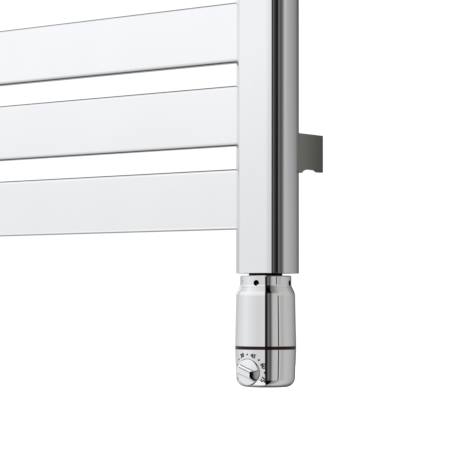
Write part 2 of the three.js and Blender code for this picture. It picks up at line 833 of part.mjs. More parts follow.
// The knob is made along +Z with its pointer along +X, then turned to the front.
function knob() {
  const radius = knobDiameter / 2;
  const back = wellFloor + slipGap;
  const top = knobFace + gripHeight;
  const blank = turned(
    [
      [0, back],
      [radius, back],
      [radius, knobFace - knobEdge],
      [radius - knobEdge, knobFace],
      [0, knobFace + knobCrown],
    ],
    headSides,
  );
  const slope = gripTopWidth / 2 + gripSlope;
  const gripOutline = polygon([
    [-slope, knobFace - 1], [slope, knobFace - 1], [slope, knobFace], [gripTopWidth / 2, top],
    [-gripTopWidth / 2, top], [-slope, knobFace],
  ]);
  // The grip's outline lies across the pointer, so its first axis becomes Y and its second Z.
  const acrossPointer = new THREE.Matrix4().makeBasis(
    new THREE.Vector3(0, 1, 0),
    new THREE.Vector3(0, 0, 1),
    new THREE.Vector3(1, 0, 0),
  );
  const grip = common(
    extruded(gripOutline, -knobDiameter, knobDiameter).applyMatrix4(acrossPointer),
    rod(radius - knobEdge, back, top + 1, headSides),
  );
  const half = (notchSpread / 2) * degrees;
  const far = 2 * radius;
  const notch = extruded(
    polygon([
      [-notchInner, notchInner * Math.tan(half)],
      [-far, far * Math.tan(half)],
      [-far, -far * Math.tan(half)],
      [-notchInner, -notchInner * Math.tan(half)],
    ]),
    knobFace - notchDepth,
    top + 1,
  );
  const bore = rod(spindleDiameter / 2 + brazeGap, back - 1, back + spindleInKnob + slipGap, smallSides);
  return cut(join(blank, grip), notch, bore);
}

function knobSpindle() {
  const radius = spindleDiameter / 2;
  const tip = wellFloor + slipGap + spindleInKnob;
  const flat = block(spindleDiameter, spindleFlat, 2 * spindleInKnob)
    .translate(0, radius, tip);
  return cut(rod(radius, spindleBack, tip, smallSides), flat);
}

function thermostatBody() {
  const front = wellFloor - shellWall - seatGap;
  const bodyFront = thermostatDepth - webSetback + seatGap;
  const can = block(thermostatWidth, thermostatDepth, thermostatHeight)
    .translate(0, thermostatDepth / 2 - bodyFront, 0);
  const bush = towardsFront(rod(thermostatBush / 2, bodyFront - 1, front, smallSides));
  const bore = towardsFront(rod(spindleDiameter / 2 + slipGap, spindleBack - slipGap, front + 1, smallSides));
  return cut(join(can, bush), bore);
}

// The round plate under the heater plug, with a web hanging from it that carries what is inside the head.
function chassis() {
  const plate = rod(chassisDiameter / 2, chassisEndZ, chassisZ, socketSides);
  const webEnd = baseZ + baseCrown + shellWall + seatGap;
  const webHeight = chassisEndZ + 1 - webEnd;
  const web = block(webWidth, webThickness, webHeight)
    .translate(0, webSetback + webThickness / 2, webEnd + webHeight / 2);
  const boss = rod(baseScrewBoss / 2, webEnd, webEnd + baseScrewBossHeight, smallSides)
    .translate(0, baseScrewSetback, 0);
  const bossWeb = block(webThickness, baseScrewSetback - webSetback, baseScrewBossHeight)
    .translate(0, (baseScrewSetback + webSetback) / 2, webEnd + baseScrewBossHeight / 2);
  const rodHole = rod(rodDiameter / 2 + slipGap, chassisEndZ - 1, chassisZ + 1, socketSides)
    .translate(rodOffset, 0, 0);
  const pocketHole = rod(pocketDiameter / 2 + slipGap, chassisEndZ - 1, chassisZ + 1, rodSides)
    .translate(pocketOffset, 0, 0);
  const screwBore = rod(baseScrewShank / 2 + seatGap, webEnd - 1, webEnd + baseScrewLength, rodSides)
    .translate(0, baseScrewSetback, 0);
  return cut(join(plate, web, boss, bossWeb), rodHole, pocketHole, screwBore);
}

function terminalBlock() {
  const body = block(terminalWidth, terminalDepth, terminalHeight);
  const pitch = terminalWidth / terminalCount;
  const wells = [];
  for (let i = 0; i < terminalCount; i++) {
    const x = (i - (terminalCount - 1) / 2) * pitch;
    wells.push(towardsWall(rod(terminalWell / 2, 0, terminalDepth, rodSides / 2 + 2)).translate(x, 0, 0));
  }
  return cut(body, ...wells);
}

// A thin pipe from the thermostat's top up into the sensor pocket, where it widens into the bulb.
function capillary() {
  const startX = thermostatWidth / 3;
  const startY = webSetback - thermostatDepth / 2;
  const startZ = knobZ + thermostatHeight / 2 + seatGap;
  const rise = chassisEndZ - startZ;
  const route = new THREE.CatmullRomCurve3([
    new THREE.Vector3(startX, startY, startZ),
    new THREE.Vector3(startX, startY, startZ + rise * 0.12),
    new THREE.Vector3(startX * 0.2, startY, startZ + rise * 0.35),
    new THREE.Vector3(startX * 1.3, startY, startZ + rise * 0.6),
    new THREE.Vector3(pocketOffset, 0, startZ + rise * 0.88),
    new THREE.Vector3(pocketOffset, 0, chassisEndZ + 2),
    new THREE.Vector3(pocketOffset, 0, socketLength),
  ]);
  const section = new THREE.Shape().absarc(0, 0, capillaryDiameter / 2, 0, 2 * Math.PI, false);
  const settings = { steps: 24, bevelEnabled: false, curveSegments: 3, extrudePath: route };
  const pipe = new THREE.ExtrudeGeometry(section, settings);
  const bulb = rod(bulbDiameter / 2, socketLength - 1, socketLength + bulbLength, rodSides)
    .translate(pocketOffset, 0, 0);
  return join(pipe, bulb);
}

function baseScrew() {
  const headZ = baseZ + baseCrown + seatGap;
  const profile = [
    [0, headZ - baseCrown / 2],
    [baseScrewHead / 2, headZ],
    [baseScrewShank / 2, headZ + baseScrewHeadHeight],
    [baseScrewShank / 2, headZ + baseScrewLength],
    [0, headZ + baseScrewLength + 1],
  ];
  return turned(profile, rodSides);
}

// The gland points at the wall. Its Z is zero at the head's axis and its flange seats on the upper housing.
const glandSeat = ringDiameter / 2 + seatGap;

function cableGland() {
  const inner = ringDiameter / 2 - 3 * shellWall;
  const flangeEnd = glandSeat + glandFlangeThickness;
  const profile = [
    [glandBore / 2, inner],
    [glandBody / 2, inner],
    [glandBody / 2, glandSeat],
    [glandFlange / 2, glandSeat],
    [glandFlange / 2, flangeEnd],
    [glandNose / 2, flangeEnd],
    [glandNoseTip / 2, flangeEnd + glandNoseLength],
    [glandBore / 2, flangeEnd + glandNoseLength],
    [glandBore / 2, inner],
  ];
  return towardsWall(turned(profile, smallSides));
}

function glandSeal() {
  const end = glandSeat + glandFlangeThickness + glandNoseLength;
  return towardsWall(rod(glandBore / 2 - seatGap, end - glandSealThickness, end, smallSides));
}

piece(head, "head_gasket", gasket(-seatGap - gasketThickness), "rubber");
piece(head, "heater_plug", heaterPlug(), "brass");
piece(head, "heating_rod", heatingRod(), "steel", rodOffset);
piece(head, "sensor_pocket", sensorPocket(), "steel", pocketOffset);
piece(head, "spanner_collar", spannerCollar(), "chrome");
piece(head, "upper_housing", upperHousing(), "chrome");
piece(head, "indicator_ring", indicatorRing(), "redLens");
piece(head, "lower_housing", lowerHousing(), "chrome");
piece(head, "chassis", chassis(), "plastic");
piece(head, "thermostat_body", thermostatBody(), "steel", 0, 0, knobZ);
piece(head, "capillary_tube", capillary(), "copper");
piece(head, "terminal_block", terminalBlock(), "darkPlastic", 0,
  webSetback + webThickness + seatGap + terminalDepth / 2, chassisEndZ - terminalDrop + terminalHeight / 2);
piece(head, "thermal_cutout", rod(cutoutDiameter / 2, -cutoutThickness, 0, smallSides), "steel",
  0, -chassisDiameter / 2 + cutoutDiameter / 2 + 1, chassisEndZ - seatGap);
piece(head, "indicator_lamp",
  rod(lampDiameter / 2, webWidth / 2 + seatGap, lampEnd, rodSides).rotateY(Math.PI / 2), "redLens",
  0, lampY, lampZ);
piece(head, "cable_gland", cableGland(), "darkPlastic", 0, 0, -glandDrop);
piece(head, "gland_seal", glandSeal(), "rubber", 0, 0, -glandDrop);
piece(head, "base_screw", baseScrew(), "steel", 0, baseScrewSetback, 0);

// The knob and its spindle turn together about the line through the knob's centre.
const dial = group(head, 0, 0, knobZ);
dial.rotation.y = -pointerTurn * degrees;
piece(dial, "knob", towardsFront(knob()), "chrome");
piece(dial, "knob_spindle", towardsFront(knobSpindle()), "steel");

export default radiator;
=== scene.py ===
"""Looks of the chrome towel radiator and its thermostat head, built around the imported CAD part."""
import json
import math

import bmesh
import bpy
import numpy as np
from mathutils import Matrix, Quaternion, Vector


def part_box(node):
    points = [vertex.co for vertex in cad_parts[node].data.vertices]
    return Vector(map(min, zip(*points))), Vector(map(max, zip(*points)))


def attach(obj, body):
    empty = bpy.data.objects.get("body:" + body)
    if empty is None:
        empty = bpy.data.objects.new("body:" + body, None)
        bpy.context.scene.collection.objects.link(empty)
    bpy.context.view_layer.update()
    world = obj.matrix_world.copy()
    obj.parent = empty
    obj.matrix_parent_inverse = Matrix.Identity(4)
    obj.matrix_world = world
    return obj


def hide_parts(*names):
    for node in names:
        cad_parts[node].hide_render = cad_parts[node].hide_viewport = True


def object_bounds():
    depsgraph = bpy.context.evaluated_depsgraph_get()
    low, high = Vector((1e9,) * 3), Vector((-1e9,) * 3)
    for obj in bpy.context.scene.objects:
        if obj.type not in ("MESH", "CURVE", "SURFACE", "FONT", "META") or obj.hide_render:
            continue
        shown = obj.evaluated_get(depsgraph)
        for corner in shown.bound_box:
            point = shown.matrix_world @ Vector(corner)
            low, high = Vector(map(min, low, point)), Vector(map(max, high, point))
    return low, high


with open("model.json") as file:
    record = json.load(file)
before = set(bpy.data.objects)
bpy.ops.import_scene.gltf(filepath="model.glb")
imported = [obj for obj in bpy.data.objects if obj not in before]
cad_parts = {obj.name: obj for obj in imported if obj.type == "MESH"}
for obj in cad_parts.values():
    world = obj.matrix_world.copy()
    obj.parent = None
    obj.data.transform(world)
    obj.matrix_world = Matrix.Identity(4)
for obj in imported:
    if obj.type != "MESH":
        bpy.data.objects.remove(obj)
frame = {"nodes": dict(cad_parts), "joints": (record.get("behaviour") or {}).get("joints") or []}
cad_low, cad_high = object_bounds()

MM = 0.001


# ---------------- sizes, in millimetres unless said otherwise

SIDES = 128  # of a round piece
SEAT_GAP = 0.1  # between faces that rest on each other
OVERSHOOT = 1  # how far a cutting tool reaches past the piece

# collectors and bars
COLLECTOR_WALL = 1.5
FRONT_CORNER = 8.5
BEVEL_TURN = 39.8  # degrees, as all turns
BEVEL_HOLLOW = 2  # degrees that the bevel's ends lean from its middle
BEVEL_LENGTH = 4.6
EDGE_START = 42.4
EDGE_RADIUS = 38
SIDE_TURN = 49.8
SIDE_RADIUS = 0.7
FLANK_TURN = 122
BACK_FLAT = 22
END_ROUNDING = 0.35
BAR_EDGE = 3
BAR_DROOP = 0.7  # how much taller the bars look than the CAD's, all of it below
BRAZE_RADIUS = 0.7
WELD_RADIUS = 0.8
WELD_SINK = 0.35

# plug, air vent and gaskets
SOCKET_KEY = 5  # across the flats of the blanking plug's key socket
SOCKET_DEPTH = 3.2
PLUG_DOME = 1.2
VENT_CHAMFER = 1.1
HEX_CHAMFER_TURN = 30
THREAD_RADIUS = 10
THREAD_LEAD = 0.8
VENT_BORE = 2.9
VENT_CLEARANCE = 0.35
VENT_HEAD = 4  # height of the vent screw's head
VENT_SHANK = 2.5
VENT_SLOT = (1.2, 1.6)  # width and depth
GASKET_WIDTH = 4

# thermostat head
COLLAR_BORE = 10.6
COLLAR_LIP = 18.7  # radius of the recess for the upper housing's lip
COLLAR_LIP_DEPTH = 2.5
LIP_OUTER = 18.4
LIP_INNER = 16.6
COLLAR_BEVEL = 0.8
COLLAR_FLARE = 1.5
SPANNER_HOLE = 4.8
SPANNER_HOLE_DEPTH = 4.4
SPANNER_HOLE_DROP = 6.1
SPANNER_TURN = 16
SHOULDER_HEIGHT = 8.6
SHOULDER_RADIUS = 9.5
SHOULDER_TURN = 26
SHOULDER_INSET = 0.85
BASE_INSET = 0.8
BASE_CORNER = 8
BASE_CROWN = 0.4
SHELL_WALL = 2
RING_THICKNESS = 3.4
RIM_BREAK = 0.25  # of the housings' edges at the ring
RIM_BREAK_MIDDLE = (0.06, 0.08)  # inwards and away from the ring
RIM_DEPTH = 3
KNOB_CLEARANCE = 0.3  # also round the base screw's head
KNOB_SETBACK = 0.4
KNOB_CROWN = 1
WELL_DEPTH = 7.2
GRIP_RISE = 1.3
GRIP_EDGES = (-3.2, -1.0, 3.5, 5.4)  # foot and top edge of the grip's two flanks, across the knob
GRIP_FOOT_RISE = 0.5
GRIP_INSET = 0.5
GRIP_SEAM = 0.55
SEAM_ENDS = (-0.55, 0.8)  # in knob radii along the grip
SEAM_DEPTH = 0.7
NOTCH_INNER = 3.3  # from the knob's axis to the notch's inner wall
NOTCH_TOP = 0.3  # ends of the inner wall, up from the axis
NOTCH_FOOT = -4.5
NOTCH_RISE = 11  # degrees that its upper side climbs outwards
NOTCH_FALL = 31
NOTCH_DEPTH = 1.7
POINTER_TURN = 160
MARK_RADIUS = 14.3
MARK_PITCH = 22.8
FIRST_MARK = -24.5
DOT_RADIUS = 0.8
DIGIT_HEIGHT = 3.3
DIGIT_BOLDNESS = 0.22
MARK_THICKNESS = 0.05
MARK_RISE = 0.06  # how far a mark stands proud
MARK_ROOT = 0.02  # how deep its back lies in the shell
DRAPE_STEP = 0.55  # longest edge of a mark that is laid on the curved front

# cable gland and base screw
GLAND_FLANGE = 2
GLAND_RIBS = 5
GLAND_BORE = 3.2
RIB_RISE = 0.45
SEAL_DISH = 0.4
GLAND_SHARES = (0.8, 0.6, 0.5)  # of the flange's radius: spigot, nose and tip
SCREW_SHANK = 1.2
SCREW_HEAD = 1.6  # height of the countersunk head
SCREW_SINK = 2.2
CROSS_ARM = (1.6, 0.4)  # half its length and width
CROSS_DEPTH = 1.1

# brackets
FRONT_FOOT = 7.4
FRONT_REACH = 1.7  # how much lower the front foot stands than the rear one
REAR_FOOT = 6.8
FOOT_SLOPE = 4.2
RELIEF_HEIGHT = 1.6
CHANNEL_RISE = 1.6  # how much higher the underside is behind the outer cheek
BRACKET_DROP = 1.5  # how far the bracket sits below the CAD's
BRACKET_CHEEK = 2
BRACKET_FRONT_WALL = 3
BRACKET_EDGE = 0.4
BRACKET_SPREAD = 1  # how much wider than the CAD's on each side
ANCHOR_GAP = 0.2
GRUB_GAP = 0.15

# camera
CAMERA_AZIMUTH = 38.415
CAMERA_PITCH = 2.308
CAMERA_ROLL = 0.08
CAMERA_LENS = 154.09
CAMERA_PLACE = (0.9674, -1.2562, -0.02532)  # from the right collector's bottom front edge, in metres


def measured(node):
    """A CAD node's lowest corner, highest corner, middle and half its size, in millimetres."""
    low, high = (np.array(corner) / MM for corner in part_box(node))
    return low, high, (low + high) / 2, (high - low) / 2


# ---------------- outlines and profiles

def arc(x, y, radius, start, end, steps):
    """Points of an arc; start and end are in degrees."""
    angles = np.radians(np.linspace(start, end, steps + 1))
    return [(x + radius * math.cos(a), y + radius * math.sin(a)) for a in angles]


def rectangle(left, right, low, high):
    """The corners of a rectangle, anticlockwise."""
    return [(left, low), (right, low), (right, high), (left, high)]


def rounded_rectangle(width, height, radius, steps=8):
    """A rectangle round the origin with its corners rounded."""
    x, y = width / 2 - radius, height / 2 - radius
    corners = ((x, -y, -90), (x, y, 0), (-x, y, 90), (-x, -y, 180))
    return [point for cx, cy, start in corners for point in arc(cx, cy, radius, start, start + 90, steps)]


def filleted(corners, steps=5, closed=False):
    """A run of points (x, y, radius) with each corner rounded to its radius."""
    made = []
    count = len(corners)
    for i, (x, y, radius) in enumerate(corners):
        if radius <= 0 or (not closed and i in (0, count - 1)):
            made.append((x, y))
            continue
        here = Vector((x, y))
        back = (Vector(corners[i - 1][:2]) - here).normalized()
        ahead = (Vector(corners[(i + 1) % count][:2]) - here).normalized()
        half = back.angle(ahead) / 2
        reach = radius / math.tan(half)
        start, end = here + back * reach, here + ahead * reach
        centre = here + (back + ahead).normalized() * (radius / math.sin(half))
        first = math.atan2(*(start - centre).yx)
        turn = (math.atan2(*(end - centre).yx) - first + math.pi) % (2 * math.pi) - math.pi
        for step in range(steps + 1):
            angle = first + turn * step / steps
            made.append((centre.x + radius * math.cos(angle), centre.y + radius * math.sin(angle)))
    return made


# ---------------- meshes

def in_scene(name, data):
    """A new object of the scene that shows a mesh, text or camera."""
    made = bpy.data.objects.new(name, data)
    bpy.context.scene.collection.objects.link(made)
    return made


def skin(name, rings, looped=False):
    """A mesh over rings of points in millimetres; looped joins last to first, else both ends close."""
    count = len(rings[0])
    faces = []
    for i in range(len(rings) if looped else len(rings) - 1):
        low, high = i * count, (i + 1) % len(rings) * count
        for j in range(count):
            k = (j + 1) % count
            faces.append((low + j, low + k, high + k, high + j))
    if not looped:
        faces.append(tuple(reversed(range(count))))
        faces.append(tuple(range((len(rings) - 1) * count, len(rings) * count)))
    mesh = bpy.data.meshes.new(name)
    mesh.from_pydata([tuple(c * MM for c in point) for ring in rings for point in ring], [], faces)
    mend = bmesh.new()
    mend.from_mesh(mesh)
    bmesh.ops.remove_doubles(mend, verts=mend.verts, dist=1e-7)
    bmesh.ops.dissolve_degenerate(mend, edges=mend.edges, dist=1e-7)
    bmesh.ops.recalc_face_normals(mend, faces=mend.faces)
    mend.to_mesh(mesh)
    mend.free()
    return in_scene(name, mesh)


def turned(name, profile, looped=False, sides=SIDES):
    """A profile of (radius, z) points turned round the Z axis."""
    angles = [2 * math.pi * i / sides for i in range(sides)]
    rings = [[(r * math.cos(a), r * math.sin(a), z) for a in angles] for r, z in profile]
    return skin(name, rings, looped)


def rod(name, radius, low, high, sides=SIDES):
    """A plain round rod along Z."""
    return turned(name, [(0, low), (radius, low), (radius, high), (0, high)], False, sides)


def pushed(name, outline, low, high):
    """An outline pushed up along Z."""
    return skin(name, [[(x, y, z) for x, y in outline] for z in (low, high)])


def place(made, matrix):
    """Moves a mesh, given in metres; its object stays at the origin."""
    made.data.transform(matrix)
    return made


def moved(made, x, y, z):
    """Moves a mesh by millimetres."""
    return place(made, Matrix.Translation((x * MM, y * MM, z * MM)))


def to_front(made):
    """Turns a form made along +Z so that it points along -Y."""
    return place(made, Matrix.Rotation(math.pi / 2, 4, "X"))


def to_wall(made):
    """Turns a form made along +Z so that it points along +Y."""
    return place(made, Matrix.Rotation(-math.pi / 2, 4, "X"))


def along_x(made):
    """Lays a form made along +Z along +X: its outline's first axis becomes Y and its second Z."""
    return place(made, Matrix(((0, 0, 1, 0), (1, 0, 0, 0), (0, 1, 0, 0), (0, 0, 0, 1))))


def painted(made):
    """Marks a tool's faces, so that what it cuts gets painted shade: 1 on its walls, 2 on its ends."""
    with_slots(made)
    for face in made.data.polygons:
        face.material_index = 2 if abs(face.normal.z) > 0.99 else 1
    return made


def with_slots(made):
    """Room for a finish and two kinds of painted shade, before anything painted is cut out of a piece."""
    for _ in range(3):
        made.data.materials.append(None)
    return made


def settled(made):
    """Applies every modifier to the mesh."""
    bpy.context.view_layer.update()
    graph = bpy.context.evaluated_depsgraph_get()
    mesh = bpy.data.meshes.new_from_object(made.evaluated_get(graph))
    made.modifiers.clear()
    made.data = mesh
    return made


def changed(made, tools, operation):
    """Joins tools to a mesh, or cuts them out of it, and deletes them."""
    for tool in tools:
        step = made.modifiers.new("shape", "BOOLEAN")
        step.operation, step.solver, step.object = operation, "EXACT", tool
    settled(made)
    for tool in tools:
        bpy.data.objects.remove(tool)
    return made


def cut(made, *tools):
    """What is left of a piece once the tools are cut out of it."""
    return changed(made, tools, "DIFFERENCE")


def joined(made, *tools):
    """A piece and its additions as one closed mesh."""
    return changed(made, tools, "UNION")


def common(made, tool):
    """What a piece and a tool share."""
    return changed(made, [tool], "INTERSECT")


def softened(made, width, segments=2, angle=30):
    """Rounds the edges sharper than the angle."""
    step = made.modifiers.new("edges", "BEVEL")
    step.width, step.segments = width * MM, segments
    step.limit_method, step.angle_limit = "ANGLE", math.radians(angle)
    return settled(made)


def together(name, parts):
    """Several meshes as one object."""
    joint = bmesh.new()
    for part in parts:
        joint.from_mesh(part.data)
        bpy.data.objects.remove(part)
    mesh = bpy.data.meshes.new(name)
    joint.to_mesh(mesh)
    joint.free()
    return in_scene(name, mesh)


def shade(made, limit=32):
    """Smooths the shading over edges that turn less than the limit in degrees, weighted by area."""
    mesh = made.data
    mesh.shade_smooth()
    faces, corners = len(mesh.polygons), len(mesh.loops)
    normals, areas = np.zeros(faces * 3), np.zeros(faces)
    mesh.polygons.foreach_get("normal", normals)
    mesh.polygons.foreach_get("area", areas)
    normals = normals.reshape(-1, 3)
    totals, points = np.zeros(faces, int), np.zeros(corners, int)
    mesh.polygons.foreach_get("loop_total", totals)
    mesh.loops.foreach_get("vertex_index", points)
    face_of = np.repeat(np.arange(faces), totals)
    order = np.argsort(points, kind="stable")
    starts = np.searchsorted(points[order], np.arange(len(mesh.vertices) + 1))
    valence = np.diff(starts)
    result = np.zeros((corners, 3))
    for size in np.unique(valence[valence > 0]):
        at = starts[:-1][valence == size]
        group = order[at[:, None] + np.arange(size)]
        near = face_of[group]
        n = normals[near]
        close = np.einsum("aic,ajc->aij", n, n) > math.cos(math.radians(limit))
        result[group] = np.einsum("aij,ajc->aic", close * areas[near][:, None, :], n)
    result /= np.maximum(np.linalg.norm(result, axis=1, keepdims=True), 1e-12)
    mesh.normals_split_custom_set(result.tolist())


# ---------------- shader expressions

def opaque(tint, share=1.0):
    """A share of a tint, as the four numbers that a colour socket takes."""
    return (*(c * share for c in tint), 1)


class Wire:
    """A socket of a node tree. Sums written with it add Math nodes. Numbers may stand on either side."""

    def __init__(self, board, socket):
        self.board, self.socket = board, socket

    def sum(self, operation, *values):
        return self.board.add("ShaderNodeMath", {"operation": operation}, values)

    def __add__(self, other):
        return self.sum("ADD", self, other)

    __radd__ = __add__

    def __sub__(self, other):
        return self.sum("SUBTRACT", self, other)

    def __rsub__(self, other):
        return self.sum("SUBTRACT", other, self)

    def __mul__(self, other):
        return self.sum("MULTIPLY", self, other)

    __rmul__ = __mul__

    def __truediv__(self, other):
        return self.sum("DIVIDE", self, other)

    def __rtruediv__(self, other):
        return self.sum("DIVIDE", other, self)

    def __abs__(self):
        return self.sum("ABSOLUTE", self)


class Board:
    """A node tree that grows as its nodes are named."""

    def __init__(self, tree):
        self.tree = tree
        tree.nodes.clear()

    def add(self, kind, settings=None, values=(), output=0):
        """Adds a node, sets its settings, then fills its sockets by name or number. Returns one output."""
        node = self.tree.nodes.new(kind)
        for name, value in (settings or {}).items():
            if name == "stops":
                self.set_stops(node.color_ramp, value)
            else:
                setattr(node, name, value)
        pairs = values.items() if isinstance(values, dict) else enumerate(values)
        for name, value in pairs:
            if isinstance(value, Wire):
                self.tree.links.new(value.socket, node.inputs[name])
            else:
                node.inputs[name].default_value = value
        return Wire(self, node.outputs[output]) if node.outputs else node

    @staticmethod
    def set_stops(ramp, stops):
        """Gives a colour ramp its stops, each a position and a grey."""
        while len(ramp.elements) < len(stops):
            ramp.elements.new(1)
        for element, (position, level) in zip(ramp.elements, stops):
            element.position = position
            element.color = opaque((level, level, level))

    def mix(self, factor, first, second):
        """A colour between two colours."""
        return self.add("ShaderNodeMix", {"data_type": "RGBA"}, {0: factor, 6: first, 7: second}, 2)

    def spread(self, value, low, high, to_low=0.0, to_high=1.0):
        """Maps low to high onto another pair of values, smoothly, and stays there outside them."""
        return self.add("ShaderNodeMapRange", {"interpolation_type": "SMOOTHSTEP"},
                        [value, low, high, to_low, to_high])

    def place(self, scale=(1, 1, 1)):
        """The object's own coordinates in metres, scaled."""
        spot = self.add("ShaderNodeTexCoord", output="Object")
        return self.add("ShaderNodeMapping", {"vector_type": "TEXTURE"},
                        {"Vector": spot, "Scale": tuple(1 / s for s in scale)})

    def part(self, source, axis):
        """One axis of the object's own coordinates (Object) or of the surface's direction (Normal)."""
        whole = self.add("ShaderNodeTexCoord", output=source)
        return self.add("ShaderNodeSeparateXYZ", None, [whole], axis)

    def noise(self, scale, detail=2.0, stretch=(1, 1, 1)):
        """Soft noise, about so many waves a metre, with finer ones on top; a stretch below 1 draws it out."""
        return self.add("ShaderNodeTexNoise", None,
                        {"Vector": self.place(stretch), "Scale": scale, "Detail": detail})

    def bump(self, height, distance, under=None):
        """A relief so many metres high, laid over another one."""
        values = {"Height": height, "Distance": distance, "Strength": 1.0}
        if under is not None:
            values["Normal"] = under
        return self.add("ShaderNodeBump", None, values)


def finish(name, constants, varying):
    """A material: constants go on the shader's own sockets, varying(board) gives what changes over it."""
    material = bpy.data.materials.new(name)
    material.use_nodes = True
    board = Board(material.node_tree)
    shader = board.tree.nodes.new("ShaderNodeBsdfPrincipled")
    for socket, value in constants.items():
        shader.inputs[socket].default_value = value
    for socket, wire in varying(board).items():
        board.tree.links.new(wire.socket, shader.inputs[socket])
    output = board.tree.nodes.new("ShaderNodeOutputMaterial")
    board.tree.links.new(shader.outputs[0], output.inputs[0])
    return material


def polished(name, tint, wave_scale, wave_depth, stretch, roughness=0.035, painted_shade=None):
    """Bright chrome plate: faint long waves from the tube or mould, fine orange peel and wiped smears; the
    last argument, if given, paints shade into its colour.
    """
    def varying(board):
        smear = board.spread(board.noise(38, 3, (1, 1, 0.35)), 0.45, 0.75)
        cloud = board.spread(board.noise(14, 2), 0.3, 0.7)
        waves = board.noise(wave_scale, 1.0, stretch)
        peel = board.noise(900, 1.0)
        colour = board.mix(cloud, opaque(tint, 0.985), opaque(tint))
        return {
            # painted shade, where the last argument gives it
            "Base Color": painted_shade(board, colour) if painted_shade else colour,
            "Roughness": roughness + 0.02 * smear,
            "Normal": board.bump(peel, 0.0000012, under=board.bump(waves, wave_depth)),
        }
    return finish(name, {"Metallic": 1.0}, varying)


def painted_gap_shade(board, colour):
    """Paints shade on the lower edges of all bars but the lowest, where the bar below shades them."""
    turned_down = board.spread(board.part("Normal", "Z"), -1.1, 0, 1, 0)
    first_top, second_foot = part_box("bar_1")[1][2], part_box("bar_2")[0][2]
    above_lowest = board.spread(board.part("Object", "Z"), first_top, second_foot - 3 * MM)
    # painted shade: a near-black grey on the faces that look down over a lower bar
    return board.mix(turned_down * above_lowest, colour, opaque((0.1, 0.105, 0.11)))


# the bars' chrome carries painted shade on the lower edges of all bars but the lowest
bar_chrome = polished("bar_chrome", (0.86, 0.866, 0.873), 26, 0.00003, (1, 1, 0.12), painted_shade=painted_gap_shade)
tube_chrome = polished("tube_chrome", (0.82, 0.826, 0.833), 26, 0.00003, (1, 1, 0.12))
moulded_chrome = polished("moulded_chrome", (0.82, 0.822, 0.825), 60, 0.00001, (1, 1, 0.4), 0.02)


def satin_metal(name, tint, roughness, grain_stretch=(1, 1, 0.05)):
    """Metal with a fine grain and duller patches."""
    def varying(board):
        patch = board.spread(board.noise(120, 4), 0.35, 0.7)
        grain = board.noise(2600, 2, grain_stretch)
        return {
            "Base Color": board.mix(patch, opaque(tint, 0.86), opaque(tint)),
            "Roughness": roughness + 0.1 * patch + 0.06 * grain,
            "Normal": board.bump(grain, 0.000004),
        }
    return finish(name, {"Metallic": 1.0}, varying)


def bracket_plate():
    """Dark satin chrome with painted shade: darker towards the wall, nearly black at the wall and dark
    underneath.
    """
    at_collector, towards_wall = opaque((0.225, 0.225, 0.205)), opaque((0.115, 0.115, 0.105))
    at_wall, underneath = opaque((0.03, 0.03, 0.028)), opaque((0.04, 0.04, 0.037))

    def varying(board):
        depth, facing = board.part("Object", "Y"), board.part("Normal", "Z")
        grain = board.noise(2600, 2, (1, 1, 0.05))
        # painted shade: darker towards the wall, near black at the wall, dark where the faces look down
        colour = board.mix(board.spread(depth, -38 * MM, 0.0), at_collector, towards_wall)
        colour = board.mix(board.spread(depth, -2.4 * MM, -1.4 * MM), colour, at_wall)
        colour = board.mix(board.spread(facing, -0.6, -0.2, 1, 0), colour, underneath)
        return {
            "Base Color": colour,
            "Roughness": 0.12 + 0.05 * board.noise(90, 3) + 0.06 * grain,
            "Normal": board.bump(grain, 0.000003),
        }
    return finish("bracket_chrome", {"Metallic": 1.0}, varying)


bracket_chrome = bracket_plate()
shaded_chrome = satin_metal("shaded_chrome", (0.38, 0.38, 0.38), 0.3)
zinc_plate = satin_metal("zinc_plate", (0.56, 0.57, 0.58), 0.28)
brass_turned = satin_metal("brass_turned", (0.72, 0.55, 0.27), 0.24, (0.05, 0.05, 1))
copper_pipe = satin_metal("copper_pipe", (0.72, 0.43, 0.29), 0.25)


def moulded(name, colour, roughness, texture_depth, specular=0.5, coat=0.0):
    """Moulded plastic or rubber: a fine texture, a slight cloudiness and a few shinier rubbed spots."""
    def varying(board):
        cloud = board.spread(board.noise(90, 3), 0.3, 0.7)
        texture = board.noise(3200, 2)
        rubbed = board.spread(board.noise(40, 2), 0.5, 0.8)
        return {
            "Base Color": board.mix(cloud, opaque(colour, 0.9), opaque(colour)),
            "Roughness": roughness - 0.12 * rubbed,
            "Normal": board.bump(texture, texture_depth),
        }
    return finish(name, {"Specular IOR Level": specular, "Coat Weight": coat}, varying)


black_rubber = moulded("black_rubber", (0.006, 0.006, 0.006), 0.75, 0.00001, 0.12)
black_plastic = moulded("black_plastic", (0.02, 0.02, 0.023), 0.45, 0.000006)
white_plastic = moulded("white_plastic", (0.72, 0.72, 0.68), 0.5, 0.000006)
red_lens = moulded("red_lens", (0.018, 0.0006, 0.0035), 0.2, 0.000001, 0.2)
# near-black for the walls of holes, grooves and recesses: painted shade
painted_hole_shade = moulded("painted_hole_shade", (0.003, 0.003, 0.003), 0.8, 0.000002, 0.05)
print_ink = moulded("print_ink", (0.008, 0.008, 0.009), 0.6, 0.000002, 0.2)


# ---------------- keeping track of pieces

def keep(made, body, material, nodes=(), limit=32, shade_linings=()):
    """Shades a finished piece, gives it its finish and its linings of painted shade and hands it to the
    frame.
    """
    paint = [face.material_index for face in made.data.polygons]
    made.data.materials.clear()
    for finish_or_painted_shade in (material, *shade_linings):
        made.data.materials.append(finish_or_painted_shade)
    for face, number in zip(made.data.polygons, paint):
        face.material_index = min(number, len(shade_linings))
    shade(made, limit)
    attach(made, body)
    if nodes:
        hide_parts(*nodes)


# ---------------- collectors and bars

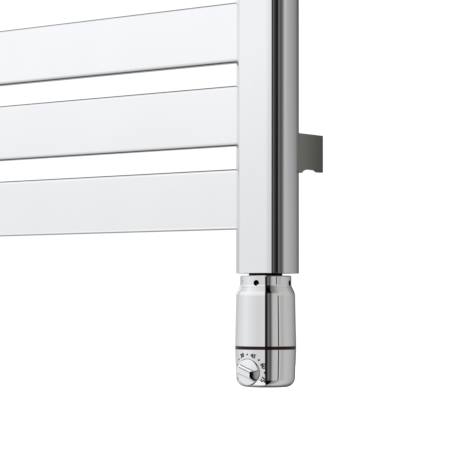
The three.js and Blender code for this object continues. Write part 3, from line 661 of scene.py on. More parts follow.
tube_low, tube_high, _, tube_half = measured("collector_right")
collector_width, collector_depth = round(2 * tube_half[0]), round(2 * tube_half[1])
collector_x = {side: measured("collector_" + side)[2][0] for side in ("right", "left")}
front_y = tube_low[1]
bottom_z, top_z = tube_low[2], tube_high[2]


def bend(start, end):
    """How far an arc of radius one leads while its outward direction turns from start to end degrees."""
    a, b = math.radians(start), math.radians(end)
    return np.array([math.sin(b) - math.sin(a), math.cos(a) - math.cos(b)])


def section_points():
    """The collectors' section as points and outward directions, anticlockwise, with its front at Y zero."""
    hollow = BEVEL_LENGTH / (2 * math.radians(BEVEL_HOLLOW))
    start, end = BEVEL_TURN + BEVEL_HOLLOW, BEVEL_TURN - BEVEL_HOLLOW
    arcs = [(FRONT_CORNER, 0, start), (-hollow, start, end), (EDGE_RADIUS, EDGE_START, SIDE_TURN),
            (SIDE_RADIUS, SIDE_TURN, 90)]
    reach = sum(radius * bend(first, last) for radius, first, last in arcs)
    left = (BACK_FLAT / 2 - collector_width / 2, collector_depth - reach[1])
    back_bends = np.column_stack([bend(90, FLANK_TURN), bend(FLANK_TURN, 180)])
    flank_radius, back_radius = np.linalg.solve(back_bends, left)
    arcs += [(flank_radius, 90, FLANK_TURN), (back_radius, FLANK_TURN, 180)]
    point = np.array([collector_width / 2 - reach[0], 0.0])
    half = [(*point, 0.0)]
    for radius, first, last in arcs:
        steps = max(5, round(abs(radius * math.radians(last - first)) / 0.6), round((last - first) / 5))
        turns = np.linspace(first, last, steps + 1)
        for a, b in zip(turns, turns[1:]):
            point = point + radius * bend(a, b)
            half.append((*point, b))
    return half + [(-x, y, -turn) for x, y, turn in reversed(half)]


section = section_points()


def section_ring(grow, z):
    """The section moved outwards by a distance, at a height."""
    return [(x + grow * math.sin(math.radians(turn)), y - grow * math.cos(math.radians(turn)), z)
            for x, y, turn in section]


def collector(side):
    """A tube of the collectors' section with its end edges broken."""
    steps = [(END_ROUNDING * (math.sin(a) - 1), END_ROUNDING * (1 - math.cos(a)))
             for a in np.radians((0, 30, 60, 90))]
    rings = [section_ring(grow, bottom_z + lift) for grow, lift in steps]
    rings += [section_ring(grow, top_z - lift) for grow, lift in reversed(steps)]
    rings += [section_ring(-COLLECTOR_WALL, z) for z in (top_z, bottom_z)]
    made = skin("collector_tube_" + side, rings, looped=True)
    moved(made, collector_x[side], front_y, 0)
    keep(made, "radiator", tube_chrome, ["collector_" + side])


for side in ("right", "left"):
    collector(side)


def grown(tree_name, inputs, build):
    """A plain mesh grown by a geometry node tree with named inputs, whose end build(add, sockets) gives."""
    tree = bpy.data.node_groups.new(tree_name, "GeometryNodeTree")
    tree.interface.new_socket("Geometry", in_out="OUTPUT", socket_type="NodeSocketGeometry")
    kinds = {int: "NodeSocketInt", float: "NodeSocketFloat", bpy.types.Material: "NodeSocketMaterial"}
    sockets = []
    for name, value in inputs.items():
        kind = next(kinds[python_type] for python_type in kinds if isinstance(value, python_type))
        sockets.append(tree.interface.new_socket(name, in_out="INPUT", socket_type=kind))
    entry = tree.nodes.new("NodeGroupInput")
    leave = tree.nodes.new("NodeGroupOutput")

    def add(kind, settings=None, values=None, output=0):
        """Adds a node, sets its settings, then fills its sockets by name or number. Returns one output."""
        node = tree.nodes.new(kind)
        for name, value in (settings or {}).items():
            setattr(node, name, value)
        for name, value in (values or {}).items():
            if isinstance(value, bpy.types.NodeSocket):
                tree.links.new(value, node.inputs[name])
            else:
                node.inputs[name].default_value = value
        return node.outputs[output]

    end = build(add, entry.outputs)
    tree.links.new(end, leave.inputs[0])
    made = in_scene(tree_name, bpy.data.meshes.new(tree_name))
    step = made.modifiers.new("grow", "NODES")
    step.node_group = tree
    for socket, value in zip(sockets, inputs.values()):
        step[socket.identifier] = value
    return settled(made)


bar_count = sum(1 for name in frame["nodes"] if name.startswith("bar_"))
bar_names = ["bar_%d" % (i + 1) for i in range(bar_count)]
_, _, bar_middle, bar_half = measured("bar_1")
bar_length, bar_depth, bar_height = 2 * bar_half
bar_y = bar_middle[1]
bar_z = [measured(name)[2][2] for name in bar_names]


def maths(add, operation, *values):
    """A Math node of a geometry tree."""
    return add("ShaderNodeMath", {"operation": operation}, dict(enumerate(values)))


def one_at_each_bar(add, sockets, shape):
    """Ends a tree: a shape at the height of every bar, from the pitch, the group size and the extra gap."""
    index = add("GeometryNodeInputIndex")
    group = maths(add, "FLOOR", maths(add, "DIVIDE", index, sockets["Bars in a group"]))
    extra = maths(add, "MULTIPLY", group, sockets["Extra gap"])
    rise = maths(add, "MULTIPLY_ADD", index, sockets["Pitch"], extra)
    height = maths(add, "ADD", rise, sockets["First height"])
    spot = add("ShaderNodeCombineXYZ", None, {"Y": sockets["Setback"], "Z": height})
    line = add("GeometryNodeMeshLine", None, {"Count": sockets["Bars"]})
    points = add("GeometryNodeMeshToPoints", None, {"Mesh": line, "Position": spot})
    laid = add("GeometryNodeInstanceOnPoints", None, {"Points": points, "Instance": shape})
    real = add("GeometryNodeRealizeInstances", None, {"Geometry": laid})
    return add("GeometryNodeSetMaterial", None, {"Geometry": real, "Material": sockets["Finish"]})


def bar_outline(add, sockets, width, height, corner_steps):
    """A bar's rounded outline, with the sizes that lie across and upright in the tree."""
    corners = add("GeometryNodeCurvePrimitiveQuadrilateral", {"mode": "RECTANGLE"},
                  {"Width": sockets[width], "Height": sockets[height]})
    return add("GeometryNodeFilletCurve", {"mode": "POLY"},
               {"Curve": corners, "Count": corner_steps, "Radius": sockets["Edge radius"]})


bar_pitch = bar_z[1] - bar_z[0]
bars_in_group = next(i for i in range(1, bar_count) if bar_z[i] - bar_z[i - 1] > 1.2 * bar_pitch)
bar_sizes = {
    "Bars": bar_count,
    "Bars in a group": float(bars_in_group),
    "Pitch": bar_pitch * MM,
    "Extra gap": (bar_z[bars_in_group] - bar_z[bars_in_group - 1] - bar_pitch) * MM,
    "First height": (bar_z[0] - BAR_DROOP / 2) * MM,
    "Setback": bar_y * MM,
    "Height": (bar_height + BAR_DROOP) * MM,
    "Thickness": bar_depth * MM,
    "Edge radius": BAR_EDGE * MM,
}


def flat_bars(add, sockets):
    """Flat oval bars: a rounded rectangle swept along X, one at each height."""
    edge = bar_outline(add, sockets, "Thickness", "Height", 10)
    half = maths(add, "MULTIPLY", sockets["Length"], 0.5)
    start = add("ShaderNodeCombineXYZ", None, {"X": maths(add, "MULTIPLY", half, -1.0)})
    end = add("ShaderNodeCombineXYZ", None, {"X": half})
    line = add("GeometryNodeCurvePrimitiveLine", None, {"Start": start, "End": end})
    swept = add("GeometryNodeCurveToMesh", None, {"Curve": line, "Profile Curve": edge, "Fill Caps": True})
    return one_at_each_bar(add, sockets, swept)


bars = grown("flat_bars", {**bar_sizes, "Length": bar_length * MM, "Finish": bar_chrome}, flat_bars)
keep(bars, "radiator", bar_chrome, bar_names)


def half_width(depth):
    """Half the collectors' width at a depth behind the front face."""
    right_side = [(y, x) for x, y, _ in section if x > 0]
    return float(np.interp(depth, *zip(*right_side)))


def brazed_joints(add, sockets):
    """Beads round the bars where they enter the collectors, one ring at each end of every bar."""
    edge = bar_outline(add, sockets, "Height", "Thickness", 6)
    profile = add("GeometryNodeCurvePrimitiveCircle", {"mode": "RADIUS"},
                  {"Resolution": 8, "Radius": sockets["Bead radius"]})
    bead = add("GeometryNodeCurveToMesh", None, {"Curve": edge, "Profile Curve": profile})
    upright = add("GeometryNodeTransform", None, {"Geometry": bead, "Rotation": (0, math.pi / 2, 0)})
    pair = add("GeometryNodeJoinGeometry")
    for side in (-1.0, 1.0):
        shift = add("ShaderNodeCombineXYZ", None, {"X": maths(add, "MULTIPLY", sockets["Reach"], side)})
        end = add("GeometryNodeTransform", None, {"Geometry": upright, "Translation": shift})
        pair.id_data.links.new(end, pair.node.inputs[0])
    return one_at_each_bar(add, sockets, pair)


joints = grown("brazed_joints", {
    **bar_sizes,
    "Reach": (collector_x["right"] - half_width(bar_y - front_y)) * MM,
    "Bead radius": BRAZE_RADIUS * MM,
    "Finish": tube_chrome,
}, brazed_joints)
keep(joints, "radiator", tube_chrome)


def weld_seams():
    """A ground weld bead round each end cap, along the inside of the collector's wall."""
    beads = []
    for side in ("right", "left"):
        for end_z, inward in ((bottom_z, 1), (top_z, -1)):
            rings = [section_ring(-COLLECTOR_WALL - WELD_SINK + WELD_RADIUS * math.cos(a),
                                  end_z + inward * WELD_RADIUS * 1.05 + WELD_RADIUS * math.sin(a))
                     for a in np.radians(range(0, 360, 45))]
            beads.append(moved(skin("weld_bead", rings, looped=True), collector_x[side], front_y, 0))
    keep(together("cap_weld_seams", beads), "radiator", tube_chrome, limit=60)


weld_seams()


# ---------------- plug and air vent

def hexagon(across_flats):
    """A hexagon's corners, with two of them on the X axis."""
    corner = across_flats / math.sqrt(3)
    return [(corner * math.cos(a), corner * math.sin(a)) for a in np.radians(range(0, 360, 60))]


def blanking_plug():
    """A domed head with a key socket, on a threaded spigot."""
    low, high, middle, (edge, _, _) = measured("blanking_plug")
    seat = measured("blanking_gasket")[0][2] - SEAT_GAP
    end = low[2] + PLUG_DOME
    dome = [(edge * t, low[2] + PLUG_DOME * t ** 3) for t in (0.2, 0.4, 0.55, 0.7, 0.82)]
    profile = [(0, low[2])] + dome + filleted([
        (edge * 0.9, end, 0), (edge, end + PLUG_DOME, 0.8), (edge, seat, 0.25), (THREAD_RADIUS, seat, 0),
        (THREAD_RADIUS, high[2], 0.5), (0, high[2], 0)])
    made = with_slots(turned("blanking_plug_head", profile))
    # the key socket is lined with darker chrome as painted shade
    key = painted(pushed("key", hexagon(SOCKET_KEY), low[2] - OVERSHOOT, low[2] + SOCKET_DEPTH))
    made = softened(cut(made, key), 0.12, 2, 50)
    moved(made, middle[0], middle[1], 0)
    keep(made, "radiator", moulded_chrome, ["blanking_plug"], shade_linings=[shaded_chrome])


blanking_plug()


def vent_body():
    """A hexagon with both ends turned to a chamfer, on a threaded spigot, bored for the vent screw."""
    low, high, middle, half = measured("vent_body")
    seat = measured("vent_gasket")[1][2] + SEAT_GAP
    flats = 2 * half[1]
    corner = flats / math.sqrt(3)
    drop = VENT_CHAMFER * math.tan(math.radians(HEX_CHAMFER_TURN))
    made = pushed("vent_hexagon", hexagon(flats), seat, high[2])
    chamfer = turned("chamfer", [(0, seat), (corner - VENT_CHAMFER, seat), (corner, seat + drop),
                                 (corner, high[2] - drop), (corner - VENT_CHAMFER, high[2]), (0, high[2])])
    made = common(made, chamfer)
    spigot = turned("spigot", [
        (0, low[2]), (THREAD_RADIUS - THREAD_LEAD, low[2]), (THREAD_RADIUS, low[2] + THREAD_LEAD),
        (THREAD_RADIUS, seat + OVERSHOOT), (0, seat + OVERSHOOT)])
    made = softened(joined(made, spigot), 0.15, 2, 20)
    bore = measured("vent_screw")[3][0] + VENT_CLEARANCE
    shoulder = high[2] - VENT_HEAD
    start, end = low[2] - OVERSHOOT, high[2] + OVERSHOOT
    hollow = turned("bore", [(0, start), (VENT_BORE, start), (VENT_BORE, shoulder), (bore, shoulder),
                             (bore, end), (0, end)], False, SIDES // 2)
    moved(cut(made, hollow), middle[0], middle[1], 0)
    keep(made, "radiator", moulded_chrome, ["vent_body"])


vent_body()


def vent_screw():
    """A brass screw with a turned head and a screwdriver slot, which opens the vent."""
    low, high, middle, (head, _, _) = measured("vent_screw")
    seat = high[2] - VENT_HEAD
    profile = filleted([
        (0, low[2], 0), (1, low[2], 0), (VENT_SHANK, low[2] + VENT_SHANK, 0.3), (VENT_SHANK, seat, 0),
        (head, seat, 0.15), (head, high[2], 0.6), (0, high[2], 0)])
    made = turned("vent_screw_slotted", profile, False, SIDES // 2)
    width, depth = VENT_SLOT
    across = rectangle(-2 * head, 2 * head, -width / 2, width / 2)
    slot = pushed("slot", across, high[2] - depth, high[2] + OVERSHOOT)
    made = moved(cut(made, slot), middle[0], middle[1], 0)
    keep(made, "vent_screw", brass_turned, ["vent_screw"])


vent_screw()


# ---------------- thermostat head

collar_low, collar_high, (head_x, head_y, _), (foot_radius, _, _) = measured("spanner_collar")
ring_radius = measured("indicator_ring")[3][0]
upper_low, upper_high, _, _ = measured("upper_housing")
lower_low, lower_high, _, _ = measured("lower_housing")
collar_radius = foot_radius - COLLAR_FLARE * math.tan(math.radians(SHOULDER_TURN))
knob_joint = next(j for j in frame["joints"] if j["child"] == "thermostat_knob")
knob_z = knob_joint["pos_m"][2] / MM
ring_bottom, ring_top = lower_high[2], upper_low[2]


def on_head(made):
    """Moves a mesh from the Z axis to the head's axis."""
    return moved(made, head_x, head_y, 0)


def gasket(name, node):
    """A rubber ring with its outer edges rounded."""
    _, _, middle, (outer, _, half) = measured(node)
    inner = outer - GASKET_WIDTH
    profile = filleted([(inner, -half, 0.2), (outer, -half, 0.7), (outer, half, 0.7), (inner, half, 0.2)], 4,
                       closed=True)
    made = moved(turned(name, profile, True, 96), middle[0], middle[1], middle[2])
    keep(made, "radiator", black_rubber, [node])


gasket("head_seal", "head_gasket")
gasket("plug_seal", "blanking_gasket")
gasket("vent_seal", "vent_gasket")


def spanner_collar():
    """The head's neck: a ring that widens at its foot, with four holes for a pin spanner."""
    low, high = collar_low[2], collar_high[2]
    made = on_head(turned("spanner_collar_skin", filleted([
        (COLLAR_BORE, high, 0), (collar_radius - COLLAR_BEVEL, high, 0.4),
        (collar_radius, high - COLLAR_BEVEL, 0.4), (collar_radius, low + COLLAR_FLARE, 3),
        (foot_radius, low, 0.12), (COLLAR_LIP, low, 0),
        (COLLAR_LIP, low + COLLAR_LIP_DEPTH, 0), (COLLAR_BORE, low + COLLAR_LIP_DEPTH, 0)]), True))
    holes = []
    for quarter in range(4):
        tool = to_front(rod("hole", SPANNER_HOLE / 2, 0, SPANNER_HOLE_DEPTH + 2 * OVERSHOOT, 48))
        moved(tool, 0, -(collar_radius - SPANNER_HOLE_DEPTH), 0)
        place(tool, Matrix.Rotation(math.radians(SPANNER_TURN + 90 * quarter), 4, "Z"))
        # each hole is lined with black painted shade
        holes.append(painted(moved(tool, head_x, head_y, high - SPANNER_HOLE_DROP)))
    made = cut(with_slots(made), *holes)
    keep(made, "radiator", moulded_chrome, ["spanner_collar"], shade_linings=[painted_hole_shade])


spanner_collar()

shoulder_low = collar_low[2] + COLLAR_FLARE - SHOULDER_HEIGHT
shoulder_radius = ring_radius - SHOULDER_INSET
base_radius = ring_radius - BASE_INSET
base_z = lower_low[2]
corner_z = base_z + BASE_CROWN + BASE_CORNER
knob_radius = measured("knob")[3][0]
knob_face = ring_radius - KNOB_SETBACK
well_floor = knob_face - WELL_DEPTH


def barrel(z):
    """The head's radius between its shoulder and its bottom corner: widest at the ring."""
    if z > ring_top:
        return ring_radius - SHOULDER_INSET * (z - ring_top) / (shoulder_low - ring_top)
    return ring_radius - BASE_INSET * (ring_bottom - z) / (ring_bottom - corner_z)


def rim(end_z, away):
    """The broken edge of a housing at the ring, from its end; away is 1 above the ring and -1 below."""
    inwards, back = RIM_BREAK_MIDDLE
    return [(ring_radius - RIM_BREAK, end_z), (ring_radius - inwards, end_z + away * back)]


def upper_housing():
    """The shoulder and the barrel above the ring, with a lip that sits in the collar."""
    top = collar_low[2] - SEAT_GAP
    lip = upper_high[2]
    outside = rim(ring_top, 1) + [(barrel(z), z) for z in np.linspace(ring_top + RIM_BREAK, shoulder_low, 14)]
    outside += arc(shoulder_radius - SHOULDER_RADIUS, shoulder_low, SHOULDER_RADIUS, 0, SHOULDER_TURN, 14)[1:]
    outside += [(foot_radius, collar_low[2]), (foot_radius - 0.12, top)]
    inside = [(LIP_OUTER, top), (LIP_OUTER, lip), (LIP_INNER, lip), (LIP_INNER, top - SHELL_WALL),
              (shoulder_radius - SHELL_WALL - 0.2, shoulder_low - SHELL_WALL),
              (ring_radius - SHELL_WALL - 0.2, ring_top)]
    made = on_head(turned("upper_housing_skin", outside + inside, True))
    keep(made, "radiator", moulded_chrome, ["upper_housing"])


upper_housing()


def indicator_ring():
    """The lens between the housings, flush with both."""
    low, high = ring_bottom + SEAT_GAP, ring_top - SEAT_GAP
    inner = ring_radius - RING_THICKNESS
    face = filleted([(inner, low, 0), (ring_radius, low, 0.35), (ring_radius, high, 0.35), (inner, high, 0)])
    made = on_head(turned("indicator_ring_lens", face, True))
    keep(made, "radiator", red_lens, ["indicator_ring"])


indicator_ring()


def lower_housing():
    """The barrel below the ring and its crowned base, with the knob's well and the base screw's recess."""
    corner = arc(base_radius - BASE_CORNER, corner_z, BASE_CORNER, -90, 0, 18)
    outside = [(0, base_z)]
    outside += [(corner[0][0] * t, base_z + BASE_CROWN * t * t) for t in (0.15, 0.3, 0.5, 0.7, 0.85)]
    outside += corner
    outside += [(barrel(z), z) for z in np.linspace(corner_z, ring_bottom - RIM_BREAK, 12)[1:]]
    outside += reversed(rim(ring_bottom, -1))
    inner = ring_radius - SHELL_WALL
    outside += [(inner, ring_bottom), (inner, ring_bottom - RIM_DEPTH), (0, ring_bottom - RIM_DEPTH)]
    made = on_head(turned("lower_housing_skin", outside))
    well = knob_radius + KNOB_CLEARANCE
    beyond = ring_radius + 6 * OVERSHOOT
    hollow = filleted([(0, well_floor, 0), (well, well_floor, 0.5), (well, beyond, 0), (0, beyond, 0)])
    tool = moved(to_front(turned("well", hollow)), head_x, head_y, knob_z)
    _, _, centre, (screw_head, _, _) = measured("base_screw")
    sink = KNOB_CLEARANCE + screw_head
    recess = rod("recess", sink, base_z - OVERSHOOT, base_z + SCREW_SINK, SIDES // 2)
    moved(recess, centre[0], centre[1], 0)
    keep(cut(made, tool, recess), "radiator", moulded_chrome, ["lower_housing"])


lower_housing()


def knob():
    """Made along +Z with its pointer along +X, then turned to its mark, notched and turned to the front."""
    radius = knob_radius
    back = well_floor + KNOB_CLEARANCE
    top = knob_face + GRIP_RISE
    dome = [(radius * t, knob_face + KNOB_CROWN * (1 - t)) for t in (0.15, 0.35, 0.55, 0.75)]
    disc = turned("thermostat_knob_cap", filleted(
        [(0, back, 0), (radius, back, 0.3), (radius, knob_face, 0.5)]
        + [(r, z, 0) for r, z in reversed(dome)] + [(0, knob_face + KNOB_CROWN, 0)], 7))
    foot, edge, far_edge, far_foot = GRIP_EDGES
    root = knob_face - 2 * OVERSHOOT
    grip_outline = [(foot, root), (far_foot, root), (far_foot, knob_face), (far_edge, top), (edge, top),
                    (foot, knob_face + GRIP_FOOT_RISE)]
    grip = along_x(pushed("grip", grip_outline, -2 * radius, 2 * radius))
    grip = softened(common(grip, rod("round", radius - GRIP_INSET, back, top + OVERSHOOT)), 0.25, 3)
    made = with_slots(joined(disc, grip))
    seams = []
    # seams along the grip: their walls are lined with black painted shade and their floors with darker chrome
    # as painted shade
    for across, level in ((foot, knob_face + GRIP_FOOT_RISE), (edge, top)):
        outline = rectangle(across - GRIP_SEAM / 2, across + GRIP_SEAM / 2, level - SEAM_DEPTH,
                            level + 2 * OVERSHOOT)
        seams.append(painted(along_x(pushed("seam", outline, *(share * radius for share in SEAM_ENDS)))))
    made = cut(made, *seams)
    place(made, Matrix.Rotation(math.radians(POINTER_TURN), 4, "Z"))
    far = 1.5 * radius
    rise, fall = math.tan(math.radians(NOTCH_RISE)), math.tan(math.radians(NOTCH_FALL))
    notch = [(NOTCH_INNER, NOTCH_FOOT), (far, NOTCH_FOOT - (far - NOTCH_INNER) * fall),
             (far, NOTCH_TOP + (far - NOTCH_INNER) * rise), (NOTCH_INNER, NOTCH_TOP)]
    # the notch: its walls are lined with black painted shade and its floor with darker chrome as painted
    # shade
    made = cut(made, painted(pushed("notch", notch, knob_face - NOTCH_DEPTH, top + 2 * OVERSHOOT)))
    moved(to_front(made), head_x, head_y, knob_z)
    keep(made, "thermostat_knob", moulded_chrome, ["knob"],
         shade_linings=[painted_hole_shade, shaded_chrome])


knob()


def lay_on_barrel(made):
    """Drapes a flat mesh drawn in the knob's plane (X right, Y up, Z out) onto the front of the head."""
    finer = bmesh.new()
    finer.from_mesh(made.data)
    bmesh.ops.triangulate(finer, faces=finer.faces)
    for _ in range(4):
        long_edges = [edge for edge in finer.edges if edge.calc_length() > DRAPE_STEP * MM]
        bmesh.ops.subdivide_edges(finer, edges=long_edges, cuts=1)
        bmesh.ops.triangulate(finer, faces=finer.faces)
    finer.to_mesh(made.data)
    finer.free()
    for vertex in made.data.vertices:
        x, up, out = (c / MM for c in vertex.co)
        z = knob_z + up
        r = barrel(z) if z > corner_z else base_radius - BASE_CORNER + math.sqrt(
            max(BASE_CORNER ** 2 - (corner_z - z) ** 2, 0))
        y = -math.sqrt(r * r - x * x) - (MARK_RISE if out > 0 else -MARK_ROOT)
        vertex.co = Vector(((head_x + x) * MM, (head_y + y) * MM, z * MM))
    return made


def solid_from_text(word, height):
    """A word as a thin solid round the origin, in the XY plane."""
    curve = bpy.data.curves.new("word", "FONT")
    curve.body, curve.align_x, curve.align_y = word, "CENTER", "CENTER"
    curve.size, curve.extrude, curve.offset = height * 1.38 * MM, MARK_THICKNESS * MM, DIGIT_BOLDNESS * MM
    curve.resolution_u = 4
    text = in_scene("word", curve)
    bpy.context.view_layer.update()
    mesh = bpy.data.meshes.new_from_object(text.evaluated_get(bpy.context.evaluated_depsgraph_get()))
    bpy.data.objects.remove(text)
    return in_scene(word, mesh)


def dial_marks():
    """The dial's numbers and dots, printed round the knob on the curved front."""
    marks = ["75", "dot", "60", "dot", "45", "dot", "30", "dot", "dot", "bare", "dot"]
    parts = []
    for place_number, mark in enumerate(marks):
        angle = math.radians(FIRST_MARK + MARK_PITCH * place_number)
        if mark == "bare":
            continue
        if mark == "dot":
            made = rod("dot", DOT_RADIUS, -MARK_THICKNESS, MARK_THICKNESS, 20)
        else:
            made = solid_from_text(mark, DIGIT_HEIGHT)
            place(made, Matrix.Rotation(angle - math.pi / 2, 4, "Z"))
        parts.append(moved(made, MARK_RADIUS * math.cos(angle), MARK_RADIUS * math.sin(angle), 0))
    made = lay_on_barrel(together("dial_marks", parts))
    keep(made, "radiator", print_ink)


dial_marks()


# ---------------- cable gland and base screw

def cable_gland():
    """The strain relief at the back of the head: a flange and a tapered, ribbed nose, closed by its seal."""
    low, high, middle, (wide, _, _) = measured("cable_gland")
    seat = head_y + ring_radius + SEAT_GAP
    flange_end = seat + GLAND_FLANGE
    spigot, nose, tip = (share * wide for share in GLAND_SHARES)
    profile = [(GLAND_BORE, low[1]), (spigot, low[1]), (spigot, seat)]
    flange = [(spigot, seat, 0), (wide, seat, 0.2), (wide, flange_end, 0.7), (nose, flange_end, 0)]
    profile += filleted(flange)[1:]
    pitch = (high[1] - flange_end - 1) / GLAND_RIBS
    for rib in range(GLAND_RIBS):
        y = flange_end + 0.6 + pitch * rib
        r = nose + (tip - nose) * (y - flange_end) / (high[1] - flange_end)
        profile += [(r - RIB_RISE, y), (r, y + 0.15 * pitch), (r, y + 0.6 * pitch),
                    (r - RIB_RISE, y + 0.75 * pitch)]
    profile += [(tip - RIB_RISE, high[1]), (GLAND_BORE, high[1])]
    made = to_wall(turned("cable_gland_ribbed", profile, True, SIDES // 2))
    keep(moved(made, middle[0], 0, middle[2]), "radiator", black_plastic, ["cable_gland"])
    low, high, _, (edge, _, _) = measured("gland_seal")
    dish = high[1] - SEAL_DISH
    plug = filleted([(0, low[1], 0), (edge, low[1], 0.2), (edge, high[1], 0.5), (0.6 * edge, dish, 0.3),
                     (0, dish, 0)])
    seal = moved(to_wall(turned("gland_seal_plug", plug, False, 48)), middle[0], 0, middle[2])
    keep(seal, "radiator", black_rubber, ["gland_seal"])


cable_gland()


def base_screw():
    """A countersunk screw with a cross recess, which holds the lower housing."""
    low, high, middle, (head, _, _) = measured("base_screw")
    profile = filleted([(0, low[2], 0), (head, low[2] + 0.15, 0.12), (SCREW_SHANK, low[2] + SCREW_HEAD, 0),
                        (SCREW_SHANK, high[2], 0), (0, high[2], 0)])
    made = with_slots(turned("base_screw_crosshead", profile, False, 48))
    length, width = CROSS_ARM
    arms = []
    for turn in (0, 90):
        outline = rectangle(-length, length, -width, width)
        arm = pushed("arm", outline, low[2] - OVERSHOOT, low[2] + CROSS_DEPTH)
        # the cross recess is lined with black painted shade
        arms.append(painted(place(arm, Matrix.Rotation(math.radians(turn), 4, "Z"))))
    made = moved(cut(made, *arms), middle[0], middle[1], 0)
    keep(made, "radiator", zinc_plate, ["base_screw"], shade_linings=[painted_hole_shade])


base_screw()


# ---------------- brackets

def bracket(corner):
    """A deep box from the collector to the wall; its outer cheek has two feet, its back takes the anchor."""
    low, high, middle, (half, _, _) = measured("bracket_" + corner)
    _, _, anchor_middle, anchor_half = measured("wall_anchor_" + corner)
    _, _, grub_middle, grub_half = measured("grub_screw_" + corner)
    front, back, foot, top = low[1], high[1], low[2] - BRACKET_DROP, high[2] - BRACKET_DROP
    raised, front_foot = foot + RELIEF_HEIGHT, foot - FRONT_REACH
    side_view = [(front, front_foot), (front + FRONT_FOOT, front_foot),
                 (front + FRONT_FOOT + FOOT_SLOPE, raised), (back - REAR_FOOT - FOOT_SLOPE, raised),
                 (back - REAR_FOOT, foot), (back, foot), (back, top), (front, top)]
    between, edge = half - BRACKET_CHEEK, half + BRACKET_SPREAD
    made = along_x(pushed("wall_bracket_" + corner, side_view, -edge, edge))
    made = with_slots(softened(made, BRACKET_EDGE, 3))
    inside = rounded_rectangle(2 * between, 2 * anchor_half[2] + 2 * ANCHOR_GAP, 1)
    cavity = to_wall(pushed("cavity", inside, 0, 2 * (back - front)))
    moved(cavity, 0, front + BRACKET_FRONT_WALL, anchor_middle[2])
    left, right = (-2 * edge, between) if middle[0] > 0 else (-between, 2 * edge)
    # the channel under the bracket is lined with black painted shade
    channel = painted(pushed("channel", rectangle(left, right, front - OVERSHOOT, back + OVERSHOOT),
                             foot - 2 * FRONT_REACH, raised + CHANNEL_RISE))
    hole = rod("hole", grub_half[0] + GRUB_GAP, foot - OVERSHOOT, middle[2], 48)
    moved(hole, 0, grub_middle[1], 0)
    moved(cut(made, cavity, channel, hole), middle[0], 0, 0)
    keep(made, "radiator", bracket_chrome, ["bracket_" + corner], shade_linings=[painted_hole_shade])


corners = ["upper_right", "upper_left", "lower_right", "lower_left"]
for corner in corners:
    bracket(corner)


# ---------------- CAD nodes that stay

stays = {
    shaded_chrome: ["cap_bottom_right", "cap_bottom_left", "cap_top_right", "cap_top_left"],
    zinc_plate: ["heating_rod", "sensor_pocket", "thermostat_body", "thermal_cutout", "knob_spindle", *(
        kind + corner for kind in ("wall_anchor_", "clamp_screw_", "grub_screw_") for corner in corners)],
    white_plastic: ["chassis"],
    brass_turned: ["heater_plug"],
    copper_pipe: ["capillary_tube"],
    black_plastic: ["terminal_block"],
    red_lens: ["indicator_lamp"],
}
for material, nodes in stays.items():
    for node in nodes:
        mesh = frame["nodes"][node].data
        mesh.materials.clear()
        mesh.materials.append(material)


# ---------------- studio

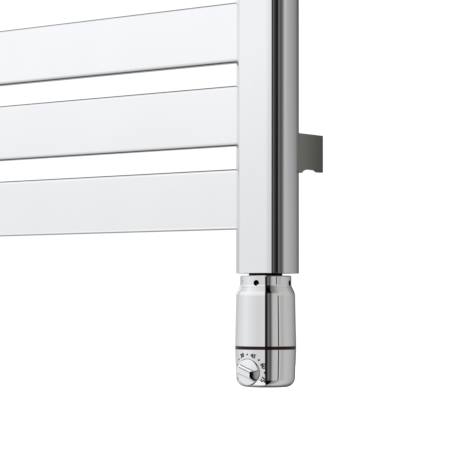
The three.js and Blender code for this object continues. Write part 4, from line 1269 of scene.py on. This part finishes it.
def studio_world():
    """Soft pale walls all round, with one black flag in front to the right, which is wider at its ends."""
    world = bpy.data.worlds.new("soft_studio")
    bpy.context.scene.world = world
    world.use_nodes = True
    board = Board(world.node_tree)
    direction = board.add("ShaderNodeTexCoord", output="Generated")
    x, y, z = (board.add("ShaderNodeSeparateXYZ", None, [direction], axis) for axis in "XYZ")
    azimuth = board.add("ShaderNodeMath", {"operation": "ARCTAN2"}, [x, y * -1])
    turn = azimuth / (2 * math.pi) + 0.5

    def level(shown):
        """The light that chrome shows as a grey from 0 to 255."""
        chrome_returns = 0.81  # share of the light
        c = shown / 255
        return (c / 12.92 if c < 0.04045 else ((c + 0.055) / 1.055) ** 2.4) / chrome_returns

    def sweep(steps):
        """A grey that changes with the degrees right of the front; levels are halved to fit a ramp."""
        stops = [((a + 180) / 360, min(level(shown) / 2, 1.0)) for a, shown in steps]
        return board.add("ShaderNodeValToRGB", {"stops": stops}, [turn])

    low = sweep([
        (-180, 135), (-170, 118), (-160, 80), (-148, 75), (-143, 188), (-105, 194), (-86, 212), (-45, 229),
        (8, 207), (34.2, 210), (35.2, 15), (39, 10), (43, 42), (47, 112), (50.5, 102), (54, 72), (57.5, 90),
        (61, 140), (65, 180), (83, 190), (84.9, 180), (85.8, 12), (88.6, 12), (89.5, 180), (91.5, 193),
        (100, 168), (120, 187), (150, 174), (163, 161), (175, 146)])
    high = sweep([
        (-180, 123), (-170, 102), (-160, 70), (-148, 65), (-143, 190), (-125, 228), (-82, 236), (-45, 243),
        (8, 228), (34.2, 226), (35.2, 15), (39, 10), (43, 42), (47, 114), (50.5, 104), (54, 74), (57.5, 92),
        (61, 138), (65, 178), (80, 187), (120, 187), (144, 187), (150, 172), (156, 162), (165, 153),
        (173, 140)])
    ends = sweep([
        (-180, 105), (-137, 90), (-124, 120), (-93, 175), (-62, 238), (-45, 250), (34.2, 235), (35.2, 15),
        (60, 4), (66, 115), (82, 150), (105, 192), (150, 185), (175, 140)])
    grey = board.mix(board.spread(z, 0.02, 0.16), low, high)
    grey = board.mix(board.spread(abs(z), 0.3, 0.6), grey, ends)
    hue = board.mix(board.spread(azimuth, 0.2, 0.9), (0.985, 0.995, 1.01, 1), (1.0, 1.0, 0.985, 1))
    tinted = board.add("ShaderNodeVectorMath", {"operation": "MULTIPLY"}, [grey, hue])
    steep = board.spread(z, 0.45, 0.9, 2.0, 1.5)
    lit = board.add("ShaderNodeVectorMath", {"operation": "SCALE"}, {0: tinted, "Scale": steep})
    seen = board.add("ShaderNodeLightPath", output="Is Camera Ray")
    colour = board.mix(seen, lit, (1.05, 1.05, 1.05, 1))
    light = board.add("ShaderNodeBackground", None, {"Color": colour})
    output = board.tree.nodes.new("ShaderNodeOutputWorld")
    board.tree.links.new(light.socket, output.inputs[0])


def pale_floor():
    """A plain white floor well below the radiator, evenly lit."""
    half, level = 12.0, cad_low[2] - 0.45
    mesh = bpy.data.meshes.new("floor")
    mesh.from_pydata([(x, y, level) for x, y in rectangle(-half, half, -half, half)], [], [(0, 1, 2, 3)])
    floor = in_scene("floor", mesh)

    def varying(board):
        return {"Base Color": board.mix(board.noise(0.6, 2), opaque((0.93,) * 3), opaque((0.96,) * 3))}
    constants = {"Roughness": 0.9, "Emission Color": (1, 1, 1, 1), "Emission Strength": 1.0}
    mesh.materials.append(finish("floor_white", constants, varying))
    floor.visible_glossy = False


studio_world()
pale_floor()


# ---------------- camera

camera = in_scene("camera", bpy.data.cameras.new("camera"))
azimuth, pitch = math.radians(CAMERA_AZIMUTH), math.radians(CAMERA_PITCH)
look = Vector((-math.sin(azimuth) * math.cos(pitch), math.cos(azimuth) * math.cos(pitch), math.sin(pitch)))
camera.rotation_mode = "QUATERNION"
level_turn = look.to_track_quat("-Z", "Y")
camera.rotation_quaternion = level_turn @ Quaternion((0, 0, 1), math.radians(CAMERA_ROLL))
camera.location = Vector((collector_x["right"] * MM, front_y * MM, bottom_z * MM)) + Vector(CAMERA_PLACE)
camera.data.sensor_width = 36
camera.data.lens = CAMERA_LENS
camera.data.clip_start, camera.data.clip_end = 0.05, 50
bpy.context.scene.camera = camera
bpy.context.scene.view_settings.view_transform = "Standard"
